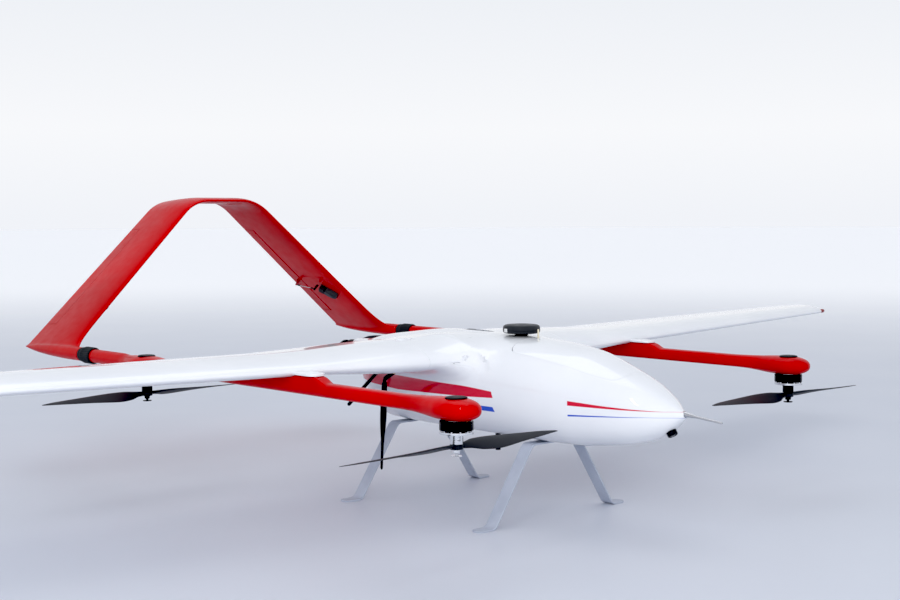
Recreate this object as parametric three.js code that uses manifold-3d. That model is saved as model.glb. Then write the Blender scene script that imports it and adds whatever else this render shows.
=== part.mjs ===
// Fixed wing aircraft with four lift motors, twin booms and an inverted V tail.
// Millimetres, +Z up, nose toward -Y, the port wing toward +X, feet on Z = 0.
import * as THREE from "three";
import { mergeVertices } from "three/addons/utils/BufferGeometryUtils.js";
import Module from "manifold-3d";

const wasm = await Module();
wasm.setup();

// ---- driving dimensions -------------------------------------------------
// Stations are distances aft of the nose tip.
const GAP = 0.3;
const PITOT_TIP = -72;
const TAIL_END = 1516;
const ORIGIN_STATION = (PITOT_TIP + TAIL_END) / 2;

// Hull: station, crown height, keel height, half width.
const HULL = [
  [0, 220, 220, 0],
  [13, 227, 203, 13.6],
  [44, 247, 179, 40.5],
  [88, 270, 161, 64],
  [154, 294, 150, 85],
  [220, 314, 143, 100],
  [308, 324.5, 142, 107.5],
  [418, 329.5, 142, 110],
  [572, 330.5, 142, 108],
  [704, 317, 144, 92],
  [759, 309, 176, 72],
  [823, 296, 236, 38],
  [862, 294, 250, 22],
];
const HULL_POWER = 2.3;
const HULL_SKIN = 3;
const CAVITY_START = 30;
const CAVITY_END = 820;

// Wing: straight tapered panels on a short centre section moulded with the hull.
const WING_ROOT = 185;
const WING_TIP = 1461;
const WING_LE_STATION = 402.4;
const WING_LE_SWEEP = 0.165;
const WING_LE_HEIGHT = 286.3;
const WING_DIHEDRAL = 0.004;
const WING_CHORD = 378.8;
const WING_TAPER = 0.12;
const WING_INCIDENCE = 0.027;
const WING_CAMBER = 0.025;
const ROOT_THICKNESS = 0.16;
const PANEL_THICKNESS = 0.11;
const THICK_UNTIL = 440;
const TIP_ROUND = 50;
const AILERON = { inner: 760, outer: 1340, hinge: 0.75 };
const HINGE_BEVEL = Math.tan(0.52);

// Booms, one on each side at this distance from the middle.
const BOOM_X = 440;
const BOOM_HALF_WIDTH = 13;
const BOOM_TOP = 274;
const BOOM_BOTTOM = 250;
const BOOM_END = 1206;
const BOOM_TUBE = 14;
const FRONT_MOTOR = 94;
const REAR_MOTOR = 982;
const MOTOR_SEAT = 246;
const POD_HALF_WIDTH = 32;
const POD_TOP = 279;
const PROPELLER_Z = 204.5;
const PROPELLER_RADIUS = 229.5;
const MOTOR_RADIUS = 26;
const CAP_RADIUS = 17;

// Tail: one bent panel over both booms.
const TAIL_FOOT_Z = 264;
const TAIL_ANGLE = THREE.MathUtils.degToRad(42.5);
const TAIL_TOP = 589;
const TAIL_FLAT = 46;
const TAIL_LE = 1293.6;
const TAIL_LE_SWEEP = 55;
const TAIL_TE = 1490;
const TAIL_THICKNESS = 0.085;
const RUDDER = { inner: 68, outer: 379, hinge: 0.75 };
const LINK_Q = 186.2;
const NUT_START = 1187;
const NUT_LENGTH = 36;
const SLEEVE_END = 1237;
const TUBE_Z = 264;

// Landing gear straps.
const GEAR_STATIONS = { front: 307, rear: 675 };
const GEAR_WIDTH = 27;
const GEAR_THICKNESS = 3;

// Pusher motor at the tail of the hull.
const PUSHER_Z = 272;
const PUSHER_FACE = 862;
const PUSHER_RADIUS = 190;

const PUCK_STATION = 384;

// ---- materials ----------------------------------------------------------
const paint = (color, roughness, metalness = 0) =>
  new THREE.MeshStandardMaterial({ color, roughness, metalness });
const white = paint(0xf2f3f5, 0.25);
const red = paint(0xd2060a, 0.22);
const black = paint(0x17181a, 0.5);
const carbon = paint(0x2a2b2f, 0.42);
const steel = paint(0xb9bcc0, 0.28, 1);
const brass = paint(0xc9a24a, 0.35, 1);
const grey = paint(0xb9c0ca, 0.5);
const redGlass = paint(0xc01818, 0.15);
const greenGlass = paint(0x12803a, 0.15);
const blueWrap = paint(0x23324f, 0.45);

// ---- geometry helpers ---------------------------------------------------
const place = (x, station, z) => new THREE.Vector3(x, station - ORIGIN_STATION, z);

// Joins equal vertices and drops the triangles that this makes flat.
function welded(geometry) {
  const bare = geometry.clone();
  bare.deleteAttribute("normal");
  bare.deleteAttribute("uv");
  const merged = mergeVertices(bare, 1e-4);
  const index = Array.from(merged.index.array);
  const kept = [];
  for (let i = 0; i < index.length; i += 3) {
    const [a, b, c] = index.slice(i, i + 3);
    if (a !== b && b !== c && c !== a) kept.push(a, b, c);
  }
  merged.setIndex(kept);
  return merged;
}

function signedVolume(geometry) {
  const position = geometry.getAttribute("position");
  const index = geometry.index.array;
  const [a, b, c] = [new THREE.Vector3(), new THREE.Vector3(), new THREE.Vector3()];
  let volume = 0;
  for (let i = 0; i < index.length; i += 3) {
    a.fromBufferAttribute(position, index[i]);
    b.fromBufferAttribute(position, index[i + 1]);
    c.fromBufferAttribute(position, index[i + 2]);
    volume += a.dot(b.cross(c)) / 6;
  }
  return volume;
}

// A closed geometry whose faces point out.
function closed(geometry) {
  const result = welded(geometry);
  if (signedVolume(result) < 0) {
    const index = Array.from(result.index.array);
    for (let i = 0; i < index.length; i += 3) {
      [index[i + 1], index[i + 2]] = [index[i + 2], index[i + 1]];
    }
    result.setIndex(index);
  }
  return result;
}

function solid(geometry) {
  const shape = closed(geometry);
  const vertProperties = new Float32Array(shape.getAttribute("position").array);
  const triVerts = new Uint32Array(shape.index.array);
  return new wasm.Manifold(new wasm.Mesh({ numProp: 3, vertProperties, triVerts }));
}

function geometryOf(shape) {
  const mesh = shape.getMesh();
  const geometry = new THREE.BufferGeometry();
  geometry.setAttribute("position", new THREE.BufferAttribute(mesh.vertProperties, 3));
  geometry.setIndex(new THREE.BufferAttribute(mesh.triVerts, 1));
  return geometry;
}

// Skins a row of rings of equal size; a ring of one point is a pole, and open ends are capped.
function loft(rings) {
  const points = [];
  const index = [];
  const starts = rings.map((ring) => points.push(...ring) - ring.length);
  for (let i = 0; i + 1 < rings.length; i += 1) {
    const [near, far] = [rings[i], rings[i + 1]];
    const count = Math.max(near.length, far.length);
    for (let k = 0; k < count; k += 1) {
      const next = (k + 1) % count;
      const a = starts[i] + (near.length > 1 ? k : 0);
      const b = starts[i] + (near.length > 1 ? next : 0);
      const c = starts[i + 1] + (far.length > 1 ? next : 0);
      const d = starts[i + 1] + (far.length > 1 ? k : 0);
      if (a !== b) index.push(a, b, c);
      if (c !== d) index.push(a, c, d);
    }
  }
  const cap = (ring, start, flip) => {
    if (ring.length === 1) return;
    const middle = new THREE.Vector3();
    ring.forEach((point) => middle.addScaledVector(point, 1 / ring.length));
    const centre = points.push(middle) - 1;
    ring.forEach((_, k) => {
      const [a, b] = [start + k, start + ((k + 1) % ring.length)];
      index.push(centre, flip ? a : b, flip ? b : a);
    });
  };
  cap(rings[0], starts[0], false);
  cap(rings[rings.length - 1], starts[starts.length - 1], true);
  const geometry = new THREE.BufferGeometry().setFromPoints(points);
  geometry.setIndex(index);
  return closed(geometry);
}

// A turned shape about the Z axis from [radius, height] pairs.
function turned(profile, segments = 16) {
  const points = profile.map(([radius, height]) => new THREE.Vector2(radius, height));
  return closed(new THREE.LatheGeometry(points, segments).rotateX(Math.PI / 2));
}

// A turned shape whose axis runs from one point toward another.
function turnedAlong(profile, from, toward, segments = 12) {
  const axis = toward.clone().sub(from).normalize();
  const turn = new THREE.Quaternion().setFromUnitVectors(new THREE.Vector3(0, 0, 1), axis);
  const shape = turned(profile, segments).applyQuaternion(turn);
  return shape.translate(from.x, from.y, from.z);
}

const rod = (from, toward, radius, segments = 10) => {
  const length = from.distanceTo(toward);
  return turnedAlong([[0, 0], [radius, 0], [radius, length], [0, length]], from, toward, segments);
};

// A flat outline in X and Y, raised from one height to another.
function raised(shape, bottom, top, curveSegments = 5) {
  const geometry = new THREE.ExtrudeGeometry(shape, {
    depth: top - bottom,
    bevelEnabled: false,
    curveSegments,
  });
  return closed(geometry.translate(0, 0, bottom));
}

// Monotone cubic through the rows of a table, over the root of the first column.
function alongHull(column, station) {
  const x = HULL.map((row) => Math.sqrt(row[0]));
  const y = HULL.map((row) => row[column]);
  const at = Math.sqrt(station);
  const slope = x.slice(1).map((right, i) => (y[i + 1] - y[i]) / (right - x[i]));
  const tangent = x.map((_, i) => {
    if (i === 0) return slope[0];
    if (i === x.length - 1) return slope[i - 1];
    const product = slope[i - 1] * slope[i];
    return product <= 0 ? 0 : (2 * product) / (slope[i - 1] + slope[i]);
  });
  const i = Math.min(x.findLastIndex((value) => value <= at), x.length - 2);
  const width = x[i + 1] - x[i];
  const t = (at - x[i]) / width;
  return (1 + 2 * t) * (1 - t) ** 2 * y[i] + t * (1 - t) ** 2 * width * tangent[i]
    + t * t * (3 - 2 * t) * y[i + 1] - t * t * (1 - t) * width * tangent[i + 1];
}

// An oval ring with flattened sides, in the plane of one station.
function ovalRing(x, station, halfWidth, bottom, top, power, count) {
  const [middle, half] = [(top + bottom) / 2, (top - bottom) / 2];
  return Array.from({ length: count }, (_, k) => {
    const angle = (2 * Math.PI * (k + 0.5)) / count;
    const [c, s] = [Math.cos(angle), Math.sin(angle)];
    const across = Math.sign(c) * Math.abs(c) ** (2 / power) * halfWidth;
    const up = Math.sign(s) * Math.abs(s) ** (2 / power) * half;
    return place(x + across, station, middle + up);
  });
}

// ---- hull, hatch and centre section -------------------------------------
function hullLoft(inset, stations, count) {
  const rings = stations.map((station) => {
    const [top, bottom, half] = [1, 2, 3].map((column) => alongHull(column, station));
    if (half < 1) return [place(0, station, (top + bottom) / 2)];
    return ovalRing(0, station, half - inset, bottom + inset, top - inset, HULL_POWER, count);
  });
  return loft(rings);
}

// Aerofoil offsets: [fraction of chord, height over chord], from the upper trailing edge
// round the nose to the lower trailing edge.
function foil(thickness, camber, steps) {
  const half = (u) => 5 * thickness * (0.2969 * Math.sqrt(u) - 0.126 * u - 0.3516 * u ** 2
    + 0.2843 * u ** 3 - 0.0996 * u ** 4) + 0.003 * u;
  const mean = (u) => (u < 0.4
    ? camber * (0.8 * u - u * u) / 0.16
    : camber * (0.2 + 0.8 * u - u * u) / 0.36);
  const cosine = (_, i) => (1 + Math.cos((Math.PI * i) / steps)) / 2;
  const fractions = Array.from({ length: steps + 1 }, cosine);
  const upper = fractions.map((u) => [u, mean(u) + half(u)]);
  const lower = fractions.slice(0, -1).reverse().map((u) => [u, mean(u) - half(u)]);
  return [...upper, ...lower];
}

function wingShape(x) {
  const span = Math.abs(x);
  const nearHull = Math.max(0, 1 - Math.max(0, span - 100) / 70) ** 2;
  const toPanel = THREE.MathUtils.smoothstep(span, WING_ROOT, THICK_UNTIL);
  const pastRound = Math.max(0, (span - (WING_TIP - TIP_ROUND)) / TIP_ROUND);
  const tip = Math.sqrt(Math.max(0, 1 - pastRound ** 2));
  const noseBack = 34 * (1 - tip);
  return {
    station: WING_LE_STATION + WING_LE_SWEEP * span + noseBack - 26 * nearHull,
    height: WING_LE_HEIGHT + WING_DIHEDRAL * span,
    chord: WING_CHORD - WING_TAPER * span - 1.5 * noseBack + 26 * nearHull,
    thickness: THREE.MathUtils.lerp(ROOT_THICKNESS, PANEL_THICKNESS, toPanel) * Math.max(tip, 0.25)
      + 0.02 * nearHull,
  };
}

function wingRing(x, steps = 8) {
  const { station, height, chord, thickness } = wingShape(x);
  const [c, s] = [Math.cos(WING_INCIDENCE), Math.sin(WING_INCIDENCE)];
  return foil(thickness, WING_CAMBER, steps).map(([u, v]) =>
    place(x, station + chord * (u * c + v * s), height + chord * (v * c - u * s)));
}

// The point on the wing's upper skin over a fraction of the chord.
function wingSkin(x, fraction) {
  const { station, height, chord, thickness } = wingShape(x);
  const ring = foil(thickness, WING_CAMBER, 40).slice(0, 41);
  const after = ring.findIndex(([u]) => u < fraction);
  const [[u1, v1], [u2, v2]] = [ring[after - 1], ring[after]];
  const v = v1 + ((v2 - v1) * (fraction - u1)) / (u2 - u1);
  const [c, s] = [Math.cos(WING_INCIDENCE), Math.sin(WING_INCIDENCE)];
  return {
    station: station + chord * (fraction * c + v * s),
    z: height + chord * (v * c - fraction * s),
  };
}

const SPAR = { station: 545, z: 290, half: 560, radius: 10 };

function hatchOutline(inset) {
  const [front, rear] = [110 + inset, 346 - inset];
  const [frontHalf, rearHalf] = [52 - inset, 74 - inset];
  const y = (station) => station - ORIGIN_STATION;
  const outline = new THREE.Shape();
  outline.moveTo(-rearHalf, y(rear - 26));
  outline.quadraticCurveTo(-rearHalf, y(rear), 24 - rearHalf, y(rear));
  outline.lineTo(rearHalf - 24, y(rear));
  outline.quadraticCurveTo(rearHalf, y(rear), rearHalf, y(rear - 26));
  outline.lineTo(frontHalf + 3, y(front + 44));
  outline.quadraticCurveTo(frontHalf, y(front), frontHalf - 34, y(front));
  outline.lineTo(34 - frontHalf, y(front));
  outline.quadraticCurveTo(-frontHalf, y(front), -frontHalf - 3, y(front + 44));
  return outline;
}

const HULL_STATIONS = [
  0, 5, 16, 38, 70, 112, 160, 220, 300, 400, 520, 620, 690, 735, 775, 815, 862,
];
const hullSkin = solid(hullLoft(0, HULL_STATIONS, 20));
const cavityStations = [70, 130, 220, 380, 620, 700, 760];
const cavity = solid(hullLoft(HULL_SKIN, [CAVITY_START, ...cavityStations, CAVITY_END], 12));
const sparEnd = (x) => place(x, SPAR.station, SPAR.z);
const sparBore = (half) => solid(rod(sparEnd(-half), sparEnd(half), SPAR.radius + GAP + 0.6, 10));

function centreSection() {
  const edge = WING_ROOT - GAP / 2;
  const places = [-edge, -150, -125, -100, 0, 100, 125, 150, edge];
  return solid(loft(places.map((x) => wingRing(x))));
}

function hatchPost() {
  const foot = place(0, 341, alongHull(1, 341) - 2);
  return solid(rod(foot, foot.clone().setZ(foot.z + 18), 1.8, 8));
}

const hull = hullSkin.add(centreSection())
  .subtract(cavity)
  .subtract(solid(raised(hatchOutline(0), 240, 345)))
  .subtract(sparBore(WING_ROOT + 5));
const hatch = hullSkin.intersect(solid(raised(hatchOutline(0.8), 240, 345)))
  .subtract(cavity)
  .add(hatchPost());

// ---- wing panels and ailerons -------------------------------------------
// A block behind the aileron's hinge line; its front face leans aft toward the bottom.
function aileronBlock(side, clearance, lean) {
  const ends = [AILERON.inner + clearance, AILERON.outer - clearance];
  const rings = ends.map((span) => {
    const hinge = wingSkin(span, AILERON.hinge);
    const front = hinge.station + clearance;
    const outline = [[0, 30], [0, 0], [40 * lean, -40], [160, -40], [160, 30]];
    return outline.map(([aft, up]) => place(side * span, front + aft, hinge.z + up));
  });
  return solid(loft(rings));
}

// The moulded boss under the leading edge that the boom is bolted to.
function boomBoss(side) {
  const outline = new THREE.Shape();
  const y = (station) => station - ORIGIN_STATION;
  outline.moveTo(-17, y(560));
  outline.lineTo(-17, y(440));
  outline.quadraticCurveTo(-17, y(424), 0, y(424));
  outline.quadraticCurveTo(17, y(424), 17, y(440));
  outline.lineTo(17, y(560));
  return solid(raised(outline, 283.6, 291.5, 4).translate(side * BOOM_X, 0, 0));
}

function lightSeat(side, grow) {
  const shape = new THREE.SphereGeometry(1, 10, 6).scale(11 + grow, 5.5 + grow, 5 + grow);
  const corner = wingShape(1428);
  const { x, y, z } = place(side * 1428, corner.station + 1.5, corner.height + 0.5);
  return solid(shape.translate(x, y, z));
}

function wingPanel(side) {
  const spans = [WING_ROOT + GAP / 2, 260, 350, 440, 760, 1340, 1411, 1434, 1451];
  const tipRing = wingRing(side * (WING_TIP - 0.6));
  const skin = solid(loft([...spans.map((span) => wingRing(side * span)), tipRing]));
  const panel = skin.add(boomBoss(side))
    .subtract(sparBore(SPAR.half + 2))
    .subtract(aileronBlock(side, 0, 0))
    .subtract(lightSeat(side, GAP));
  const aileron = skin.intersect(aileronBlock(side, 1.2, HINGE_BEVEL));
  return { panel, aileron };
}

// ---- booms --------------------------------------------------------------
// Rows of station, half width, bottom, top and squareness down one boom.
const BOOM_ROWS = [
  [53, 10, 256, 268, 2.1],
  [62, 22.5, 248.5, 275.5, 2.2],
  [77, 30, 244.5, 278.8, 2.3],
  [FRONT_MOTOR, POD_HALF_WIDTH, 243.5, POD_TOP + 0.3, 2.3],
  [112, 30, 243.8, POD_TOP, 2.3],
  [132, 25, 244.8, 278, 2.4],
  [158, 18.5, 247.3, 276.2, 2.6],
  [190, 14.4, 249.5, 274.8, 2.8],
  [225, BOOM_HALF_WIDTH, BOOM_BOTTOM, BOOM_TOP, 3],
  [850, BOOM_HALF_WIDTH, BOOM_BOTTOM, BOOM_TOP, 3],
  [886, 14.4, 249.5, 274.8, 2.8],
  [918, 18.5, 247.3, 276.2, 2.6],
  [944, 25, 244.8, 278, 2.4],
  [964, 30, 243.8, POD_TOP, 2.3],
  [REAR_MOTOR, POD_HALF_WIDTH, 243.5, POD_TOP + 0.3, 2.3],
  [1000, 30, 244, POD_TOP - 0.4, 2.3],
  [1022, 24, 246, 277.4, 2.2],
  [1046, 17, 248.5, 275.8, 2.1],
  [1074, BOOM_TUBE, TUBE_Z - BOOM_TUBE, TUBE_Z + BOOM_TUBE, 2],
  [NUT_START - 1, BOOM_TUBE, TUBE_Z - BOOM_TUBE, TUBE_Z + BOOM_TUBE, 2],
];

function boomRing([station, half, bottom, top, power], side) {
  return ovalRing(side * BOOM_X, station, half, bottom, top, power, 12);
}

// The raised block that fills the wedge between the boom and the wing's leading edge.
function pylon(side) {
  const rows = [[404, 272, 11.5], [424, 283.3, 12.5], [560, 283.3, 12.5], [640, 272, 11.5]];
  const rings = rows.map(([station, top, half]) =>
    [[-half, 262], [half, 262], [half, top - 2], [half - 2, top], [2 - half, top], [-half, top - 2]]
      .map(([across, z]) => place(side * BOOM_X + across, station, z)));
  return solid(loft(rings));
}

function boom(side, panel) {
  const tubeAt = (station) => place(side * BOOM_X, station, TUBE_Z);
  const neck = rod(tubeAt(NUT_START - 3), tubeAt(BOOM_END), 12.6, 12);
  let shape = solid(loft(BOOM_ROWS.map((row) => boomRing(row, side))))
    .add(pylon(side))
    .add(solid(neck))
    .subtract(sparBore(SPAR.half + 2));
  for (const drop of [0, -0.5]) {
    shape = shape.subtract(panel.translate(0, 0, drop));
  }
  for (const station of [FRONT_MOTOR, REAR_MOTOR]) {
    const [seatRadius, pocketRadius] = [MOTOR_RADIUS + 3, CAP_RADIUS + GAP];
    const seat = turned([[0, 200], [seatRadius, 200], [seatRadius, MOTOR_SEAT], [0, MOTOR_SEAT]]);
    const pocket = turned([[0, 277.4], [pocketRadius, 277.4], [pocketRadius, 290], [0, 290]]);
    for (const cut of [seat, pocket]) {
      cut.translate(side * BOOM_X, station - ORIGIN_STATION, 0);
      shape = shape.subtract(solid(cut));
    }
  }
  return shape;
}

// ---- lift motors and propellers -----------------------------------------
const capGeometry = () => turned([[0, 277.7], [CAP_RADIUS, 277.7], [CAP_RADIUS, 280], [0, 281.4]]);

// Mounting foot and laminated core of a lift motor, hollow for the shaft.
const statorGeometry = () => turned([
  [4, 245.7], [15, 245.7], [15, 243.6], [19.5, 243.6], [19.5, 233.6], [4, 233.6], [4, 245.7],
], 12);

// Magnet bell with its end plate, propeller adapter and threaded shaft.
const bellGeometry = () => turned([
  [0, 244.6], [3.4, 244.6], [3.4, 232], [22.6, 232], [22.6, 244.4], [MOTOR_RADIUS, 244.4],
  [MOTOR_RADIUS, 229.6], [24.8, 228.4], [10.3, 228.4], [10.3, 209], [4, 209], [4, 194.6], [0, 194.6],
], 14);

const nutGeometry = () => turned([
  [0, 193.6], [4.5, 193.6], [4.5, 200.6], [6.4, 200.6], [5.2, 192.4], [8.8, 191.6], [8.8, 190], [0, 190],
], 10);

// Blade rows: fraction of the radius, chord, sweep of the mid chord, twist in degrees, thickness.
const BLADE_ROWS = [
  [0.02, 11, 0, 26, 6.2],
  [0.1, 17, 0, 25, 5.6],
  [0.2, 34, -2, 22, 4.6],
  [0.34, 42, -4, 18, 3.8],
  [0.6, 33, -3, 12.5, 2.7],
  [0.86, 19, -3, 9, 1.7],
  [1, 5, -5, 8, 0.8],
];

// One blade along +X about the Z axis; spin is 1 for a turn from X to Y, seen from +Z,
// and lift is the side of Z that the thrust acts on.
function blade(radius, chordScale, spin, lift) {
  const section = [[0.5, 0.1], [0.2, 0.48], [-0.2, 0.35], [-0.5, 0], [-0.2, -0.35], [0.25, -0.45]];
  const rings = BLADE_ROWS.map(([fraction, chord, sweep, twist, thickness]) => {
    const angle = THREE.MathUtils.degToRad(twist);
    return section.map(([u, v]) => {
      const along = u * chord * chordScale + sweep;
      const up = v * thickness;
      const y = along * Math.cos(angle) - up * Math.sin(angle);
      const z = along * Math.sin(angle) + up * Math.cos(angle);
      return new THREE.Vector3(fraction * radius, spin * y, lift * z);
    });
  });
  return solid(loft(rings));
}

function propeller({ radius, chordScale, spin, lift, hubRadius, boreRadius, hubHalf }) {
  const one = blade(radius, chordScale, spin, lift);
  const hub = turned([[0, -hubHalf], [hubRadius, -hubHalf], [hubRadius, hubHalf], [0, hubHalf]], 12);
  const bore = turned([[0, -20], [boreRadius, -20], [boreRadius, 20], [0, 20]], 12);
  return one.add(one.rotate([0, 0, 180])).add(solid(hub)).subtract(solid(bore));
}

// Each lift motor: side, station, parked blade angle in degrees and the way it turns from above.
const LIFT_MOTORS = {
  front_left: { side: 1, station: FRONT_MOTOR, parked: -3.5, spin: -1 },
  front_right: { side: -1, station: FRONT_MOTOR, parked: 2.7, spin: 1 },
  rear_left: { side: 1, station: REAR_MOTOR, parked: 4, spin: 1 },
  rear_right: { side: -1, station: REAR_MOTOR, parked: 2, spin: -1 },
};

function liftPropeller(spin) {
  return geometryOf(propeller({
    radius: PROPELLER_RADIUS,
    chordScale: 1,
    spin,
    lift: 1,
    hubRadius: 10.3,
    boreRadius: 4.5,
    hubHalf: 3.8,
  }));
}

// ---- tail ---------------------------------------------------------------
const TAIL_RADIUS = ((BOOM_X - TAIL_FLAT) * Math.tan(TAIL_ANGLE) - (TAIL_TOP - TAIL_FOOT_Z))
  / (Math.sin(TAIL_ANGLE) * Math.tan(TAIL_ANGLE) - (1 - Math.cos(TAIL_ANGLE)));
const TAIL_BEND_Z = TAIL_TOP - TAIL_RADIUS * (1 - Math.cos(TAIL_ANGLE));
const TAIL_STRAIGHT = (TAIL_BEND_Z - TAIL_FOOT_Z) / Math.sin(TAIL_ANGLE);

// Leading and trailing edge stations at a height of the tail.
function tailEdges(z) {
  const rise = (z - TAIL_FOOT_Z) / (TAIL_TOP - TAIL_FOOT_Z);
  const rootFillet = 42 * Math.exp(-Math.max(0, z - TAIL_FOOT_Z) / 14);
  return {
    front: TAIL_LE + TAIL_LE_SWEEP * rise - rootFillet,
    back: TAIL_TE + (TAIL_END - TAIL_TE) * rise,
  };
}

// A point at a distance q up the straight part of one panel; n is outward from its mid plane.
function tailPoint(side, q, station, n) {
  const x = BOOM_X - q * Math.cos(TAIL_ANGLE) + n * Math.sin(TAIL_ANGLE);
  const z = TAIL_FOOT_Z + q * Math.sin(TAIL_ANGLE) + n * Math.cos(TAIL_ANGLE);
  return place(side * x, station, z);
}

function tailRing(x, z, lean) {
  const { front, back } = tailEdges(z);
  return foil(TAIL_THICKNESS, 0, 6).map(([u, v]) => {
    const n = v * (back - Math.max(front, TAIL_LE - 12));
    return place(x + n * Math.sin(lean), front + u * (back - front), z + n * Math.cos(lean));
  });
}

function tailArch() {
  const right = [0, 10, 26, RUDDER.inner, TAIL_STRAIGHT]
    .map((q) => [BOOM_X - q * Math.cos(TAIL_ANGLE), TAIL_FOOT_Z + q * Math.sin(TAIL_ANGLE), TAIL_ANGLE]);
  for (const part of [2 / 3, 1 / 3, 0]) {
    const lean = TAIL_ANGLE * part;
    const drop = TAIL_RADIUS * (1 - Math.cos(lean));
    right.push([TAIL_FLAT + TAIL_RADIUS * Math.sin(lean), TAIL_TOP - drop, lean]);
  }
  const left = right.map(([x, z, lean]) => [-x, z, -lean]).reverse();
  return solid(loft([...right, ...left].map(([x, z, lean]) => tailRing(x, z, lean))));
}

// The tube at the foot of each panel: a spigot inside the nut, then a fairing that tapers aft.
function tailSocket(side) {
  const front = place(side * BOOM_X, BOOM_END + 1, TUBE_Z);
  const start = SLEEVE_END + 1 - BOOM_END;
  const length = TAIL_TE + 6 - SLEEVE_END;
  const profile = [[0, 0], [10.4, 0], [10.4, start], [14.2, start + 0.5]];
  for (const [part, radius] of [[0.2, 14.4], [0.55, 12], [0.8, 7.5], [1, 0]]) {
    profile.push([radius, start + part * length]);
  }
  return solid(turnedAlong(profile, front, front.clone().setY(front.y + 1), 12));
}

function rudderBlock(side, clearance, lean) {
  const rings = [RUDDER.inner + clearance, RUDDER.outer - clearance].map((q) => {
    const z = TAIL_FOOT_Z + q * Math.sin(TAIL_ANGLE);
    const { front, back } = tailEdges(z);
    const hinge = front + RUDDER.hinge * (back - front) + clearance;
    const skin = rudderSkin(q);
    const outline = [[0, 20], [0, skin], [30 * lean, skin - 30], [90, skin - 30], [90, 20]];
    return outline.map(([aft, n]) => tailPoint(side, q, hinge + aft, n));
  });
  return solid(loft(rings));
}

// Half thickness of the tail at the hinge line.
function rudderSkin(q) {
  const { front, back } = tailEdges(TAIL_FOOT_Z + q * Math.sin(TAIL_ANGLE));
  const u = RUDDER.hinge;
  const ring = foil(TAIL_THICKNESS, 0, 40).slice(0, 41);
  const [, v] = ring.find(([fraction]) => fraction < u);
  return v * (back - front);
}

// A plate that stands on edge along the panel, from outline points of station and n.
function linkPlate(side, outline, from, to) {
  const rings = [from, to].map((q) => outline.map(([station, n]) => tailPoint(side, q, station, n)));
  return loft(rings);
}

// The horn on the inner face of the ruddervator, which the pushrod pulls.
const rudderHorn = (side) =>
  solid(linkPlate(side, [[1463, -1], [1478, -1], [1467, -21], [1461, -21]], LINK_Q + 1.4, LINK_Q + 3.2));

function servoArm(side) {
  const outline = [[1384, -13], [1390, -13], [1391, -16], [1389, -30], [1385, -30], [1383, -16]];
  return linkPlate(side, outline, LINK_Q - 3.8, LINK_Q - 1.3);
}

const pushrod = (side) =>
  rod(tailPoint(side, LINK_Q, 1387, -28), tailPoint(side, LINK_Q, 1466, -19), 0.9, 8);

// The servo's case lies askew on the inner face, narrower at its top than at its foot.
function servoCase(side) {
  const layers = [[-8.3, 1], [-17, 0.94], [-22, 0.7]].map(([n, scale]) =>
    [[-26, -8], [-20, -11], [24, -11], [24, 11], [-20, 11], [-26, 8]].map(([along, across]) => {
      const [u, v] = [along * scale * Math.SQRT1_2, across * scale * Math.SQRT1_2];
      return tailPoint(side, 157 + u + v, 1368 + u - v, n);
    }));
  return loft(layers);
}

const arch = tailArch();
const tail = [1, -1].reduce(
  (shape, side) => shape.add(tailSocket(side)).subtract(rudderBlock(side, 0, 0)),
  arch,
);

// Ribbed nut that locks the tail's spigot to the boom's neck, with its sleeve.
function couplingNut(side) {
  const neckEnd = BOOM_END + 2 - NUT_START;
  const sleeve = SLEEVE_END - NUT_START;
  const profile = [
    [13.2, 0], [16.6, 0], [17.4, 4], [17.4, NUT_LENGTH - 3], [14.6, NUT_LENGTH], [14.6, sleeve],
    [11, sleeve], [11, neckEnd], [13.2, neckEnd], [13.2, 0],
  ];
  const from = place(side * BOOM_X, NUT_START, TUBE_Z);
  return turnedAlong(profile, from, from.clone().setY(from.y + 1), 12);
}

// ---- landing gear -------------------------------------------------------
function gearStrap(station, keel) {
  const top = keel - GAP;
  const under = top - GEAR_THICKNESS;
  const path = [[-197, 0], [-157, 0], [-62, under], [62, under], [157, 0], [197, 0]];
  const upper = [[197, 3], [158.6, 3], [63.6, top], [-63.6, top], [-158.6, 3], [-197, 3]];
  const outline = new THREE.Shape([...path, ...upper].map(([x, z]) => new THREE.Vector2(x, z)));
  const strip = new THREE.ExtrudeGeometry(outline, { depth: GEAR_WIDTH, bevelEnabled: false });
  strip.rotateX(Math.PI / 2).translate(0, station + GEAR_WIDTH / 2 - ORIGIN_STATION, 0);
  const plan = new THREE.Shape();
  const y = station - ORIGIN_STATION;
  const [reach, half] = [197, GEAR_WIDTH / 2 + 1];
  plan.moveTo(-reach + half, y - half);
  plan.lineTo(reach - half, y - half);
  plan.absarc(reach - half, y, half, -Math.PI / 2, Math.PI / 2, false);
  plan.lineTo(-reach + half, y + half);
  plan.absarc(-reach + half, y, half, Math.PI / 2, (3 * Math.PI) / 2, false);
  return solid(strip).intersect(solid(raised(plan, -1, 400, 6)));
}

// ---- small fittings -----------------------------------------------------
function pitot() {
  const from = place(0, 5, 219);
  const toward = place(0, PITOT_TIP, 211.8);
  const length = from.distanceTo(toward);
  const profile = [[0, 0], [5, 0], [3.6, 14], [2.3, 25], [1.9, length - 3], [1, length], [0, length]];
  return turnedAlong(profile, from, toward);
}

function noseCamera() {
  const from = place(0, 36, 192);
  return turnedAlong([[0, 0], [9, 0], [9, 13], [7.6, 15], [0, 15]], from, place(0, 24, 173), 16);
}

function pitotSeat() {
  const from = place(0, 8, 219.3);
  return turnedAlong([[0, 0], [5.5, 0], [5.5, 40], [0, 40]], from, place(0, PITOT_TIP, 211.8));
}

function noseCameraSeat() {
  const from = place(0, 40, 198);
  return turnedAlong([[0, 0], [9.6, 0], [9.6, 40], [0, 40]], from, place(0, 28, 179), 16);
}

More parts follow.
